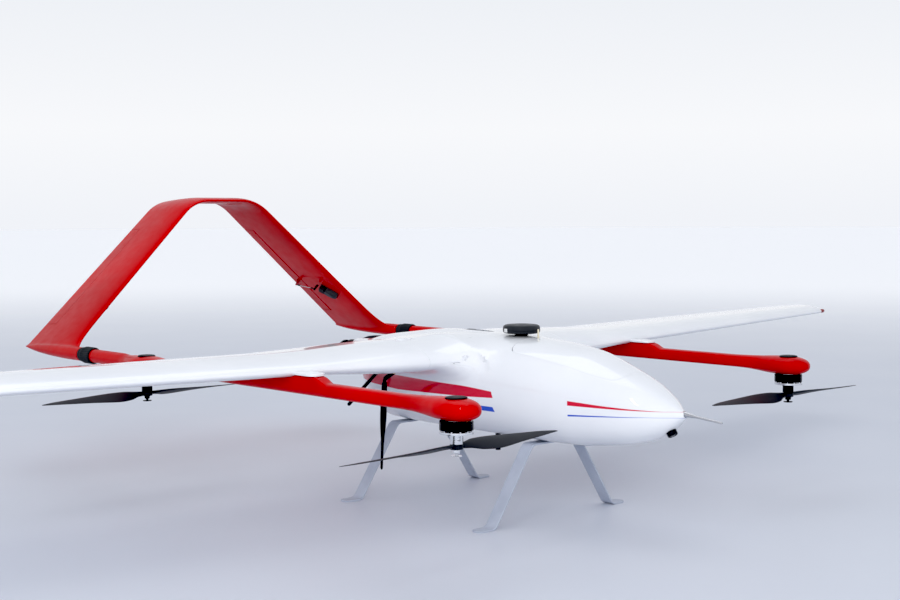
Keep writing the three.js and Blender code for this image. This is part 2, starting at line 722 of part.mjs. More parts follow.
// Satellite receiver: a disc on a short foot that stands on the hull's crown.
function puck() {
  const { x, y } = place(0, PUCK_STATION, 0);
  const foot = alongHull(1, PUCK_STATION) + 0.9;
  const profile = [
    [0, foot], [13, foot], [13, 331.5], [31, 331.5], [34.6, 334], [34.6, 345], [32, 348.4], [0, 350],
  ];
  return turned(profile, 20).translate(x, y, 0);
}

// The latch lies in a flat pocket of the centre section.
const LATCH_FLOOR = wingSkin(165, 0.29).z - 4;
function latchPocket(side) {
  const y = 531 - ORIGIN_STATION;
  const outline = new THREE.Shape();
  const [near, far] = [142, 181];
  outline.moveTo(near, y - 8);
  outline.lineTo(far, y - 8);
  outline.lineTo(far, y + 8);
  outline.lineTo(near, y + 8);
  const shape = raised(outline, LATCH_FLOOR, LATCH_FLOOR + 20);
  return solid(side > 0 ? shape : shape.scale(-1, 1, 1));
}

function latch(side) {
  const outline = new THREE.Shape();
  const [inner, outer, half] = [150, 180, 7];
  const y = 531 - ORIGIN_STATION;
  outline.moveTo(inner + 4, y - half);
  outline.lineTo(outer, y - half);
  outline.lineTo(outer, y + half);
  outline.lineTo(inner + 4, y + half);
  outline.quadraticCurveTo(inner, y + half, inner, y);
  outline.quadraticCurveTo(inner, y - half, inner + 4, y - half);
  const shape = raised(outline, LATCH_FLOOR + GAP, LATCH_FLOOR + 7, 3);
  return side > 0 ? shape : closed(shape.scale(-1, 1, 1));
}

function rangefinder() {
  const keel = alongHull(2, 446);
  return rod(place(0, 446, keel - 36), place(0, 446, keel - GAP), 5, 12);
}

const boxAt = (width, length, height, x, station, z) =>
  closed(new THREE.BoxGeometry(width, length, height).translate(x, station - ORIGIN_STATION, z));

// Radio aerials under the starboard side of the centre section.
const AERIALS = {
  whip: { base: place(-154, 566, 259.4), elbow: place(-154, 597.5, 241.6), tip: place(-154, 608, 66) },
  rod: { base: place(-125, 647, 262.6), elbow: place(-125, 649, 252), tip: place(-125, 744, 175) },
};

function aerialBase({ base, elbow }) {
  const length = base.distanceTo(elbow) - 1;
  return turnedAlong([[0, 0], [4, 0], [4, Math.min(6, length / 2)], [4.6, Math.min(6.5, length / 2 + 0.5)],
    [4.6, length - 1], [3.6, length], [0, length]], base, elbow, 12);
}

function aerialWhip({ elbow, tip }, profile) {
  const length = elbow.distanceTo(tip);
  const direction = tip.clone().sub(elbow).normalize();
  const start = elbow.clone().addScaledVector(direction, 6);
  return turnedAlong(profile(length - 6), start, tip, 12);
}

const paddle = (length) => [
  [0, 0], [4.6, 0], [5.3, 10], [6.4, 0.36 * length], [5.4, 0.52 * length], [2.9, 0.72 * length],
  [2.5, length - 2], [1.4, length], [0, length],
];
const plainRod = (length) => [[0, 0], [3.6, 0], [3.7, 8], [3.7, length - 2], [2.6, length], [0, length]];

// ---- pusher -------------------------------------------------------------
const aft = (profile, segments = 14) => {
  const from = place(0, PUSHER_FACE, PUSHER_Z);
  return turnedAlong(profile, from, from.clone().setY(from.y + 1), segments);
};
const pusherMotor = () => aft([
  [3.6, GAP], [15, GAP], [15, 5], [13, 8], [13, 22], [3.6, 22], [3.6, GAP],
]);
const pusherBell = () => aft([
  [0, 3], [3, 3], [3, 23], [15.2, 23], [15.2, 9], [18, 9], [18, 27], [16, 29], [6, 29], [4, 30],
  [4, 46], [0, 46],
]);
const spinner = () => aft([
  [4.4, 41.6], [16, 41.6], [15, 48], [11, 56], [5, 62], [0, 64], [0, 47], [4.4, 47], [4.4, 41.6],
]);

function pusherPropeller() {
  const shape = propeller({
    radius: PUSHER_RADIUS,
    chordScale: 0.72,
    spin: 1,
    lift: -1,
    hubRadius: 10,
    boreRadius: 4.5,
    hubHalf: 5,
  });
  const geometry = geometryOf(shape).rotateZ(THREE.MathUtils.degToRad(-2)).rotateX(-Math.PI / 2);
  return geometry.translate(0, PUSHER_FACE + 35.6 - ORIGIN_STATION, PUSHER_Z);
}

// ---- assembly -----------------------------------------------------------
const aircraft = new THREE.Group();

function addMesh(name, shape, material, parent = aircraft) {
  const geometry = shape instanceof THREE.BufferGeometry ? shape : geometryOf(shape);
  geometry.computeVertexNormals();
  const mesh = new THREE.Mesh(geometry, material);
  mesh.name = name;
  parent.add(mesh);
}

const SIDES = { left: 1, right: -1 };

let fuselage = hull.subtract(solid(noseCameraSeat()));
for (const side of [1, -1]) {
  fuselage = fuselage.subtract(latchPocket(side));
}

addMesh("fuselage", fuselage.subtract(solid(pitotSeat())), white);
addMesh("top_hatch", hatch, white);
addMesh("nose_camera", noseCamera(), black);
addMesh("pitot_tube", pitot(), steel);
addMesh("gnss_puck", puck(), black);
addMesh("belly_rangefinder", rangefinder(), black);
addMesh("battery", boxAt(64, 150, 50, 0, 225, 190), blueWrap);
addMesh("flight_controller", boxAt(60, 96, 28, 0, 400, 176), black);

const sparTube = [[8.6, 0], [SPAR.radius, 0], [SPAR.radius, 2 * SPAR.half], [8.6, 2 * SPAR.half], [8.6, 0]];
addMesh("wing_spar", turnedAlong(sparTube, sparEnd(-SPAR.half), sparEnd(SPAR.half), 12), carbon);

for (const [name, side] of Object.entries(SIDES)) {
  const { panel, aileron } = wingPanel(side);
  addMesh(`wing_${name}`, panel, white);
  addMesh(`aileron_${name}`, aileron, white);
  addMesh(`wing_latch_${name}`, latch(side), white);
  addMesh(`nav_light_${name}`, lightSeat(side, 0), side > 0 ? redGlass : greenGlass);
  addMesh(`boom_${name}`, boom(side, panel), red);
  addMesh(`coupling_nut_${name}`, couplingNut(side), black);
  const rudder = arch.intersect(rudderBlock(side, 1, HINGE_BEVEL)).add(rudderHorn(side));
  addMesh(`ruddervator_${name}`, rudder, red);
  addMesh(`tail_servo_${name}`, servoCase(side), black);
  addMesh(`servo_arm_${name}`, servoArm(side), black);
  addMesh(`pushrod_${name}`, pushrod(side), steel);
}

addMesh("tail", tail, red);

for (const [name, { side, station, parked, spin }] of Object.entries(LIFT_MOTORS)) {
  const column = new THREE.Group();
  column.position.set(side * BOOM_X, station - ORIGIN_STATION, 0);
  aircraft.add(column);
  const silver = name === "front_right";
  addMesh(`pod_cap_${name}`, capGeometry(), black, column);
  addMesh(`motor_stator_${name}`, statorGeometry(), steel, column);
  addMesh(`motor_bell_${name}`, bellGeometry(), silver ? steel : black, column);
  addMesh(`propeller_nut_${name}`, nutGeometry(), silver ? steel : black, column);
  const blades = liftPropeller(spin).rotateZ(THREE.MathUtils.degToRad(parked));
  blades.translate(0, 0, PROPELLER_Z);
  addMesh(`propeller_${name}`, blades, carbon, column);
}

addMesh("pusher_motor", pusherMotor(), steel);
addMesh("pusher_bell", pusherBell(), black);
addMesh("pusher_propeller", pusherPropeller(), carbon);
addMesh("pusher_spinner", spinner(), black);

for (const [name, station] of Object.entries(GEAR_STATIONS)) {
  addMesh(`gear_strap_${name}`, gearStrap(station, alongHull(2, station)), grey);
}

addMesh("aerial_base_whip", aerialBase(AERIALS.whip), brass);
addMesh("aerial_whip", aerialWhip(AERIALS.whip, paddle), black);
addMesh("aerial_base_rod", aerialBase(AERIALS.rod), black);
addMesh("aerial_rod", aerialWhip(AERIALS.rod, plainRod), black);

export default aircraft;
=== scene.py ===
import math

import bmesh
import bpy
import numpy as np
from mathutils import Matrix, Vector


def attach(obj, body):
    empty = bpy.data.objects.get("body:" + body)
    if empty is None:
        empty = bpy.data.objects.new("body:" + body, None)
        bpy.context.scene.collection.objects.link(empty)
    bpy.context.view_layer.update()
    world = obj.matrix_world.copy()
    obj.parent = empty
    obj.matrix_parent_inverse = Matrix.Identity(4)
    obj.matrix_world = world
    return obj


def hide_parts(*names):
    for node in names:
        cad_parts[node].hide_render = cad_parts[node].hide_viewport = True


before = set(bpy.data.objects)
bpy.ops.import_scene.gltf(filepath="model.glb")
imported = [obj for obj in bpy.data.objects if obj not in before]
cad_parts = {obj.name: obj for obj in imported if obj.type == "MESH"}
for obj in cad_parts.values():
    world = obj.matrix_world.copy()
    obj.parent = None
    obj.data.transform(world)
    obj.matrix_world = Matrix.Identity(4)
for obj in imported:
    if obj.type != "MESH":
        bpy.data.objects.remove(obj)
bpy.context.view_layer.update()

# ---- dimensions, in millimetres; stations are distances aft of the nose tip ----
MM = 0.001
ORIGIN_STATION = 722.0
GAP = 0.3
SIDES = {"left": 1, "right": -1}

# Hull: station, crown height, keel height, half width.
HULL = [
    [0, 220, 220, 0], [13, 227, 203, 13.6], [44, 247, 179, 40.5], [88, 270, 161, 64],
    [154, 294, 150, 85], [220, 314, 143, 100], [308, 324.5, 142, 107.5],
    [418, 329.5, 142, 110], [572, 330.5, 142, 108], [704, 317, 144, 92],
    [759, 309, 176, 72], [823, 296, 236, 38], [862, 294, 250, 22],
]
HULL_POWER = 2.3
HULL_SKIN = 3.0
HULL_END = 862.0
HATCH_BOTTOM, HATCH_TOP = 240.0, 345.0

# The fairing at a wing root: how far its fillet reaches, the width of its grid, the steps round the
# aerofoil and across the fillet, and how deep its hidden edge lies.
ROOT_REACH = 60.0
ROOT_WIDTH = 62.0
ROOT_STEPS = 60
ROOT_ROWS = 25
ROOT_SPACING = 3.0
ROOT_BULGE = 6.0
ROOT_DEPTH = 3.0
ROOT_PASSES = 6

WING_ROOT = 185.0
WING_TIP = 1460.4
ROUND_START = 1411.0
INCIDENCE = 0.027
CAMBER = 0.025
AILERON = {"inner": 760.0, "outer": 1340.0, "hinge": 0.75}
HINGE_BEVEL = math.tan(0.52)
SPAR = {"station": 545.0, "z": 290.0, "half": 560.0, "radius": 10.0}
LATCH_STATION = 531.0
BOSS = {"half": 17.0, "round": 442.0, "end": 520.0, "foot": 283.6, "crown": 289.0}

BOOM_X = 440.0
FRONT_MOTOR = 94.0
REAR_MOTOR = 982.0
MOTOR_SEAT = 246.0
MOTOR_RADIUS = 26.0
CAP_RADIUS = 17.0
PROPELLER_Z = 204.5
PROPELLER_RADIUS = 229.5
PUSHER_PROPELLER_RADIUS = 190.0
NUT_START = 1187.0
NUT_LENGTH = 36.0
SLEEVE_END = 1237.0
BOOM_END = 1206.0
TUBE_Z = 264.0

TAIL_ANGLE = math.radians(42.5)
TAIL_TOP = 589.0
TAIL_FLAT = 46.0
TAIL_LE = 1293.6
TAIL_LE_SWEEP = 55.0
TAIL_TE = 1490.0
TAIL_END = 1516.0
TAIL_THICKNESS = 0.085
RUDDER = {"inner": 68.0, "outer": 379.0, "hinge": 0.75}
LINK_Q = 186.2

GEAR_STATIONS = {"front": 307.0, "rear": 675.0}
PUSHER_FACE = 862.0
PUSHER_Z = 272.0
PUSHER_PLANE = 35.6
PUCK_STATION = 384.0
RANGEFINDER_STATION = 446.0


# ---- geometry helpers ----
def place(x, station, z):
    return np.array([x, station - ORIGIN_STATION, z], float)


def smoothstep(low, high, value):
    t = np.clip((value - low) / (high - low), 0, 1)
    return t * t * (3 - 2 * t)


def through(rows, warp=lambda value: value):
    """A monotone cubic through a table, as a function of its first column."""
    table = np.array(rows, float)
    knots, values = warp(table[:, 0]), table[:, 1:]
    slope = np.diff(values, axis=0) / np.diff(knots)[:, None]
    product = slope[:-1] * slope[1:]
    total = np.where(product > 0, slope[:-1] + slope[1:], 1)
    middle = np.where(product > 0, 2 * product / total, 0)
    tangent = np.vstack([slope[:1], middle, slope[-1:]])

    def at(value):
        x = warp(np.atleast_1d(np.asarray(value, float)))
        i = np.clip(np.searchsorted(knots, x, "right") - 1, 0, len(knots) - 2)
        width = (knots[i + 1] - knots[i])[:, None]
        t = (x - knots[i])[:, None] / width
        return (
            (1 + 2 * t) * (1 - t) ** 2 * values[i]
            + t * (1 - t) ** 2 * width * tangent[i]
            + t * t * (3 - 2 * t) * values[i + 1]
            - t * t * (1 - t) * width * tangent[i + 1]
        )

    return at


def linked(name, data):
    """A new object of the scene."""
    obj = bpy.data.objects.new(name, data)
    bpy.context.scene.collection.objects.link(obj)
    return obj


def mesh_object(name, points, faces):
    mesh = bpy.data.meshes.new(name)
    mesh.from_pydata((np.asarray(points, float) * MM).tolist(), [], faces)
    return linked(name, mesh)


def object_from(name, points, faces):
    """An object with near points merged and its faces turned outward."""
    obj = mesh_object(name, points, faces)
    mesh = obj.data
    work = bmesh.new()
    work.from_mesh(mesh)
    bmesh.ops.remove_doubles(work, verts=work.verts, dist=2e-6)
    bmesh.ops.recalc_face_normals(work, faces=work.faces)
    work.to_mesh(mesh)
    work.free()
    return obj


def loft(name, rings, joined=False):
    """Skins a row of rings of equal size; a ring of one point is a pole, open ends are capped."""
    points, faces, starts = [], [], []
    for ring in rings:
        starts.append(len(points))
        points.extend(np.atleast_2d(ring))
    pairs = [(i, i + 1) for i in range(len(rings) - 1)]
    if joined:
        pairs.append((len(rings) - 1, 0))
    sizes = [len(np.atleast_2d(ring)) for ring in rings]
    for i, j in pairs:
        count = max(sizes[i], sizes[j])
        for k in range(count):
            n = (k + 1) % count
            near = [starts[i] + k, starts[i] + n] if sizes[i] > 1 else [starts[i]]
            far = [starts[j] + n, starts[j] + k] if sizes[j] > 1 else [starts[j]]
            faces.append(near + far)
    if not joined:
        for i in (0, len(rings) - 1):
            if sizes[i] > 1:
                faces.append(list(range(starts[i], starts[i] + sizes[i])))
    return object_from(name, points, faces)


def box(low_x, low_y, high_x, high_y):
    """The four corners of a rectangle."""
    return [[low_x, low_y], [high_x, low_y], [high_x, high_y], [low_x, high_y]]


def filleted(points, radius, steps=4, looped=False):
    """Rounds the corners of a line of points."""
    line = [np.asarray(p, float) for p in points]
    count = len(line)
    result = []
    for i, corner in enumerate(line):
        if not looped and i in (0, count - 1):
            result.append(corner)
            continue
        before, after = line[i - 1] - corner, line[(i + 1) % count] - corner
        reach = min(radius, 0.45 * np.linalg.norm(before), 0.45 * np.linalg.norm(after))
        start = corner + before / np.linalg.norm(before) * reach
        end = corner + after / np.linalg.norm(after) * reach
        for t in np.linspace(0, 1, steps + 1):
            result.append((1 - t) ** 2 * start + 2 * t * (1 - t) * corner + t * t * end)
    return np.array(result)


def axes_along(direction):
    """Two unit vectors square to a direction, and the direction itself."""
    axis = np.asarray(direction, float)
    axis = axis / np.linalg.norm(axis)
    helper = np.array([0, 0, 1.0]) if abs(axis[2]) < 0.9 else np.array([1.0, 0, 0])
    first = np.cross(helper, axis)
    first /= np.linalg.norm(first)
    return first, np.cross(axis, first), axis


def turn_about_z(angle):
    c, s = math.cos(angle), math.sin(angle)
    return np.array([[c, s, 0], [-s, c, 0], [0, 0, 1]])


def turned(name, profile, origin=(0, 0, 0), toward=None, segments=64, fillet=0.5, looped=False,
           ribs=None):
    """A turned shape from [radius, height] pairs; ribs(angle, height) scales the radius."""
    first, second, axis = axes_along(np.subtract(toward, origin) if toward is not None else (0, 0, 1))
    line = filleted(profile, fillet, looped=looped) if fillet else np.array(profile, float)
    angle = np.linspace(0, 2 * math.pi, segments, endpoint=False)
    around = np.outer(np.cos(angle), first) + np.outer(np.sin(angle), second)
    rings = []
    for radius, height in line:
        centre = np.asarray(origin, float) + height * axis
        if radius < 1e-6:
            rings.append(centre[None])
        else:
            scale = ribs(angle, height)[:, None] if ribs else 1
            rings.append(centre + radius * around * scale)
    return loft(name, rings, joined=looped)


def swept(name, path, radius, segments=20):
    """A round bar along a line of points; radius is one number or one for each point."""
    path = np.asarray(path, float)
    radii = np.broadcast_to(radius, len(path))
    tangents = np.gradient(path, axis=0)
    angle = np.linspace(0, 2 * math.pi, segments, endpoint=False)
    first = axes_along(tangents[0])[0]
    rings = []
    for point, tangent, size in zip(path, tangents, radii):
        tangent = tangent / np.linalg.norm(tangent)
        first = first - tangent * np.dot(first, tangent)
        first /= np.linalg.norm(first)
        second = np.cross(tangent, first)
        rings.append(point + size * (np.outer(np.cos(angle), first) + np.outer(np.sin(angle), second)))
    return loft(name, rings)


def raised(name, outline, bottom, top):
    """A flat outline of [x, y] points, raised from one height to another."""
    outline = np.asarray(outline, float)
    rings = [np.column_stack([outline, np.full(len(outline), z)]) for z in (bottom, top)]
    return loft(name, rings)


def bevelled_block(name, size, centre, axes=np.eye(3), bevel=1.5, segments=3):
    """A block with rounded edges; the rows of axes are its own directions."""
    half = np.array(size, float) / 2
    signs = [(-1, -1), (1, -1), (1, 1), (-1, 1)]
    rings = [[np.asarray(centre) + (np.array([x, y, z]) * half) @ axes for x, y in signs] for z in (-1, 1)]
    block = loft(name, [np.array(ring) for ring in rings])
    modifier = block.modifiers.new("edges", "BEVEL")
    modifier.width = bevel * MM
    modifier.segments = segments
    apply_modifiers(block)
    return block


def apply_modifiers(obj):
    graph = bpy.context.evaluated_depsgraph_get()
    mesh = bpy.data.meshes.new_from_object(obj.evaluated_get(graph))
    obj.modifiers.clear()
    obj.data = mesh


def discard(*objects):
    for obj in objects:
        bpy.data.objects.remove(obj)


def copy_of(obj, name):
    twin = obj.copy()
    twin.data = obj.data.copy()
    twin.name = name
    bpy.context.scene.collection.objects.link(twin)
    return twin


def shift(obj, offset):
    """Moves an object's points by an offset in millimetres."""
    obj.data.transform(Matrix.Translation(Vector(np.asarray(offset, float) * MM)))


def boolean(target, operation, *tools):
    for tool in tools:
        modifier = target.modifiers.new("shape", "BOOLEAN")
        modifier.operation = operation
        modifier.solver = "MANIFOLD"
        modifier.object = tool
    apply_modifiers(target)
    discard(*tools)
    return target


def points_of(obj):
    values = np.zeros(len(obj.data.vertices) * 3)
    obj.data.vertices.foreach_get("co", values)
    return values.reshape(-1, 3) / MM


def move_points(obj, points):
    obj.data.vertices.foreach_set("co", (points * MM).ravel())
    obj.data.update()


def gradient(field, points, step=0.05):
    columns = []
    for axis in np.eye(3):
        columns.append((field(points + step * axis) - field(points - step * axis)) / (2 * step))
    return np.stack(columns, axis=1)


def unit(vectors):
    return vectors / np.maximum(np.linalg.norm(vectors, axis=1), 1e-9)[:, None]


def blended_field(first, second, reach):
    """The distance field of two shapes joined by a fillet that reaches a given way from their meeting."""
    def field(at):
        a, b = first(at), second(at)
        facing = (unit(gradient(first, at)) * unit(gradient(second, at))).sum(1)
        width = np.maximum(reach * np.clip(1 - facing, 0, 1), 1e-3)
        close = np.maximum(width - np.abs(a - b), 0) / width
        return np.minimum(a, b) - close ** 2 * width / 4
    return field


def settle(points, field, rounds=6, limit=3.0):
    """Moves points along the slope of a field until they lie on its skin."""
    for _ in range(rounds):
        slope = gradient(field, points, 0.2)
        step = (field(points) / np.maximum((slope ** 2).sum(1), 0.2))[:, None] * slope
        points = points - np.clip(step, -limit, limit)
    return points


def blend_join(obj, first, second, reach):
    """Moves the vertices near the line where two shapes meet onto a fillet between them."""
    field = blended_field(first, second, reach)
    points = points_of(obj)
    near = np.flatnonzero(np.abs(first(points) - second(points)) < reach)
    points[near] = settle(points[near], field, 4)
    move_points(obj, points)


def shade(obj, sharp=35):
    obj.data.shade_smooth()
    obj.data.set_sharp_from_angle(angle=math.radians(sharp))


def true_normals(obj, field, within=0.5, from_station=8.0):
    """Gives the outer skin the exact normals of its distance field, so that the cuts leave no marks."""
    points = points_of(obj)
    on_skin = (np.abs(field(points)) < within) & (points[:, 1] + ORIGIN_STATION > from_station)
    exact = np.zeros_like(points)
    exact[on_skin] = unit(gradient(field, points[on_skin], 0.2))
    mesh = obj.data
    corners = np.zeros(len(mesh.loops) * 3)
    mesh.corner_normals.foreach_get("vector", corners)
    corners = corners.reshape(-1, 3)
    vertex = np.zeros(len(mesh.loops), int)
    mesh.loops.foreach_get("vertex_index", vertex)
    same_way = (corners * exact[vertex]).sum(1) > 0.3
    corners[same_way] = exact[vertex][same_way]
    mesh.normals_split_custom_set(corners.tolist())


def plain_name(data):
    """A name without the number that Blender adds where the CAD has the name already."""
    return data.name.split(".")[0]


def finish(obj, body, material, sharp=35):
    """Shades a piece, gives it its material, and lets it ride on its body. A piece made
    under the name of a CAD node stands for that node."""
    obj.data.materials.clear()
    obj.data.materials.append(material)
    shade(obj, sharp)
    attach(obj, body)
    node = plain_name(obj)
    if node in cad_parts:
        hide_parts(node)


# ---- materials ----
class Shader:
    """A material under construction, with short ways to add nodes."""

    def __init__(self, name, color, roughness, metallic=0.0, coat=0.0, coat_roughness=0.03):
        self.material = bpy.data.materials.new(name)
        self.material.use_nodes = True
        self.tree = self.material.node_tree
        self.tree.nodes.clear()
        self.surface = self.node("ShaderNodeBsdfPrincipled")
        output = self.node("ShaderNodeOutputMaterial")
        self.tree.links.new(self.surface.outputs["BSDF"], output.inputs["Surface"])
        self.surface.inputs["Base Color"].default_value = (*color, 1)
        self.surface.inputs["Roughness"].default_value = roughness
        self.surface.inputs["Metallic"].default_value = metallic
        self.surface.inputs["Coat Weight"].default_value = coat
        self.surface.inputs["Coat Roughness"].default_value = coat_roughness
        self.position = self.node("ShaderNodeTexCoord").outputs["Object"]
        self.parts = None

    def node(self, kind, inputs=None, **settings):
        made = self.tree.nodes.new(kind)
        for key, value in settings.items():
            setattr(made, key, value)
        for key, value in (inputs or {}).items():
            if isinstance(value, bpy.types.NodeSocket):
                self.tree.links.new(value, made.inputs[key])
            else:
                made.inputs[key].default_value = value
        return made

    def set(self, socket, value):
        self.tree.links.new(value, self.surface.inputs[socket])

    def math(self, operation, a, b=0.0, c=0.0):
        return self.node("ShaderNodeMath", {0: a, 1: b, 2: c}, operation=operation).outputs[0]

    def remap(self, value, low, high, to_low=0.0, to_high=1.0, smooth=False):
        inputs = {"Value": value, "From Min": low, "From Max": high, "To Min": to_low, "To Max": to_high}
        kind = "SMOOTHSTEP" if smooth else "LINEAR"
        return self.node("ShaderNodeMapRange", inputs, interpolation_type=kind).outputs["Result"]

    def noise(self, scale, detail=3.0, roughness=0.5, stretch=None):
        vector = self.position
        if stretch is not None:
            mapping = self.node("ShaderNodeMapping", {"Vector": vector, "Scale": stretch})
            vector = mapping.outputs["Vector"]
        inputs = {"Vector": vector, "Scale": scale, "Detail": detail, "Roughness": roughness}
        return self.node("ShaderNodeTexNoise", inputs).outputs["Fac"]

    def mix(self, factor, a, b):
        a = (*a, 1) if isinstance(a, tuple) else a
        b = (*b, 1) if isinstance(b, tuple) else b
        made = self.node("ShaderNodeMix", data_type="RGBA")
        for socket, value in ((made.inputs[0], factor), (made.inputs[6], a), (made.inputs[7], b)):
            if isinstance(value, bpy.types.NodeSocket):
                self.tree.links.new(value, socket)
            else:
                socket.default_value = value
        return made.outputs[2]

    def bump(self, height, strength, distance_mm):
        inputs = {"Height": height, "Strength": strength, "Distance": distance_mm * MM}
        self.set("Normal", self.node("ShaderNodeBump", inputs).outputs["Normal"])

    def xyz(self):
        """The position split into x, station and z, in millimetres."""
        if self.parts is None:
            split = self.node("ShaderNodeSeparateXYZ", {"Vector": self.position}).outputs
            x = self.math("MULTIPLY", split["X"], 1000.0)
            station = self.math("MULTIPLY_ADD", split["Y"], 1000.0, ORIGIN_STATION)
            z = self.math("MULTIPLY", split["Z"], 1000.0)
            self.parts = (x, station, z)
        return self.parts

    def line(self, value, points):
        """A broken line through [value, result] pairs."""
        result = points[0][1]
        total = None
        for (v0, r0), (v1, r1) in zip(points, points[1:]):
            rise = self.remap(value, v0, v1, 0.0, r1 - r0)
            total = rise if total is None else self.math("ADD", total, rise)
        return self.math("ADD", total, result)

    def above(self, value, edge, soft=0.5):
        """1 where value is over edge, with a narrow soft step."""
        difference = self.math("SUBTRACT", value, edge)
        return self.remap(difference, -soft, soft)

    def both(self, *masks):
        result = masks[0]
        for mask in masks[1:]:
            result = self.math("MULTIPLY", result, mask)
        return result


def gloss_paint(name, dark, light, marks=None, roughness=0.38):
    """Sprayed gloss paint under a clear coat, with faint orange peel."""
    shader = Shader(name, light, roughness, coat=1.0, coat_roughness=0.04)
    deep = max(light) - min(light) > 0.3
    shader.surface.inputs["Specular IOR Level"].default_value = 0.1
    shader.surface.inputs["Coat Weight"].default_value = 0.3 if deep else 1.0
    tone = shader.mix(shader.remap(shader.noise(5.0, 4.0), 0.35, 0.65), dark, light)
    if marks:
        tone = marks(shader, tone)
    shader.set("Base Color", tone)
    mottle = shader.noise(40.0, 5.0)
    shader.set("Roughness", shader.remap(mottle, 0.3, 0.7, roughness - 0.06, roughness + 0.08))
    shader.bump(shader.noise(260.0, 2.0), 0.02, 0.05)
    return shader.material


CRIMSON = (0.62, 0.006, 0.035)
ROYAL_BLUE = (0.03, 0.09, 0.56)


def hull_marks(shader, tone):
    """Red and blue bands along both sides of the hull."""
    _, station, z = shader.xyz()
    slant = shader.math("MULTIPLY_ADD", z, 0.35, 351 - 0.35 * 224)
    rear_top = shader.line(station, [[351, 235], [430, 240.5], [617, 247], [760, 250], [862, 262]])
    rear_bottom = shader.line(station, [[351, 224], [430, 220], [617, 216], [760, 222], [862, 240]])
    red_rear = shader.both(
        shader.above(station, slant), shader.above(rear_top, z), shader.above(z, rear_bottom)
    )
    front_top = shader.line(station, [[29, 223.2], [110, 227.6], [185, 233]])
    front_bottom = shader.line(station, [[29, 222.8], [110, 224], [185, 225]])
    front_end = shader.above(185.0, station)
    red_front = shader.both(front_end, shader.above(front_top, z), shader.above(z, front_bottom))
    blue_slant = shader.math("MULTIPLY_ADD", z, 0.35, 351 - 0.35 * 198)
    blue_rear = shader.both(
        shader.above(station, blue_slant), shader.above(207.0, z), shader.above(z, 198.0),
        shader.above(shader.math("MULTIPLY_ADD", z, 0.9, 500.0), station),
    )
    blue_top = shader.line(station, [[51, 213.2], [120, 211.4], [185, 209.2]])
    blue_bottom = shader.line(station, [[51, 212.8], [120, 209.6], [185, 206.2]])
    blue_front = shader.both(front_end, shader.above(blue_top, z), shader.above(z, blue_bottom))
    red = shader.math("MAXIMUM", red_rear, red_front)
    blue = shader.math("MAXIMUM", blue_rear, blue_front)
    return shader.mix(blue, shader.mix(red, tone, CRIMSON), ROYAL_BLUE)


def wing_marks(shader, tone):
    """A thin red line near the trailing edge, and a red and a blue wedge outboard of it."""
    x, station, z = shader.xyz()
    span = shader.math("ABSOLUTE", x)
    edge = shader.line(span, [[185, 764], [450, 744], [720, 724]])
    line = shader.both(
        shader.above(station, edge),
        shader.above(shader.math("ADD", edge, 14.0), station),
        shader.above(720.0, span),
        shader.above(z, 268.0),
    )
    wedge_top = shader.line(span, [[790, 706], [900, 738]])
    wedge = shader.both(
        shader.above(span, 790.0), shader.above(900.0, span),
        shader.above(station, wedge_top), shader.above(740.0, station),
        shader.above(z, 268.0),
    )
    blue = shader.both(
        shader.above(span, 738.0), shader.above(765.0, span),
        shader.above(station, 742.0), shader.above(750.0, station), shader.above(z, 268.0),
    )
    red = shader.math("MAXIMUM", line, wedge)
    return shader.mix(blue, shader.mix(red, tone, CRIMSON), ROYAL_BLUE)


def moulded_plastic(name, dark, light, roughness=0.5, grain=900.0, strength=0.25):
    """Moulded plastic with a fine grain and slightly paler worn edges."""
    shader = Shader(name, light, roughness)
    tone = shader.mix(shader.remap(shader.noise(30.0, 4.0), 0.3, 0.7), dark, light)
    edge = shader.node("ShaderNodeNewGeometry").outputs["Pointiness"]
    worn = tuple(min(1.0, 2.2 * value + 0.01) for value in light)
    tone = shader.mix(shader.remap(edge, 0.53, 0.62, 0.0, 0.6), tone, worn)
    shader.set("Base Color", tone)
    mottle = shader.noise(60.0, 4.0)
    shader.set("Roughness", shader.remap(mottle, 0.3, 0.7, roughness - 0.08, roughness + 0.1))
    shader.surface.inputs["Specular IOR Level"].default_value = 0.3
    shader.bump(shader.noise(grain, 2.0), strength, 0.05)
    return shader.material


def woven_carbon(name):
    """Matte moulded carbon with a faint weave."""
    shader = Shader(name, (0.03, 0.032, 0.036), 0.45)
    shader.surface.inputs["Specular IOR Level"].default_value = 0.15
    waves = []
    for direction in ("X", "Y"):
        inputs = {"Vector": shader.position, "Scale": 160.0, "Distortion": 0.4}
        waves.append(shader.node("ShaderNodeTexWave", inputs, bands_direction=direction).outputs["Fac"])
    weave = shader.math("MULTIPLY", waves[0], waves[1])
    blotch = shader.noise(14.0, 4.0)
    tone = shader.mix(shader.remap(blotch, 0.3, 0.7), (0.018, 0.019, 0.024), (0.030, 0.032, 0.039))
    tone = shader.mix(shader.remap(weave, 0.2, 0.9, 0.0, 0.35), tone, (0.042, 0.045, 0.052))
    shader.set("Base Color", tone)
    shader.set("Roughness", shader.remap(blotch, 0.3, 0.7, 0.38, 0.52))
    shader.bump(weave, 0.15, 0.06)
    return shader.material


def turned_metal(name, dark, light, roughness, stretch=(1.0, 1.0, 60.0)):
    """Machined metal with fine tool lines round its axis."""
    shader = Shader(name, light, roughness, metallic=1.0)
    lines = shader.noise(25.0, 4.0, 0.6, stretch)
    shader.set("Base Color", shader.mix(shader.remap(lines, 0.3, 0.7), dark, light))
    shader.set("Roughness", shader.remap(lines, 0.3, 0.7, max(0.03, roughness - 0.08), roughness + 0.1))
    shader.bump(lines, 0.08, 0.03)
    return shader.material


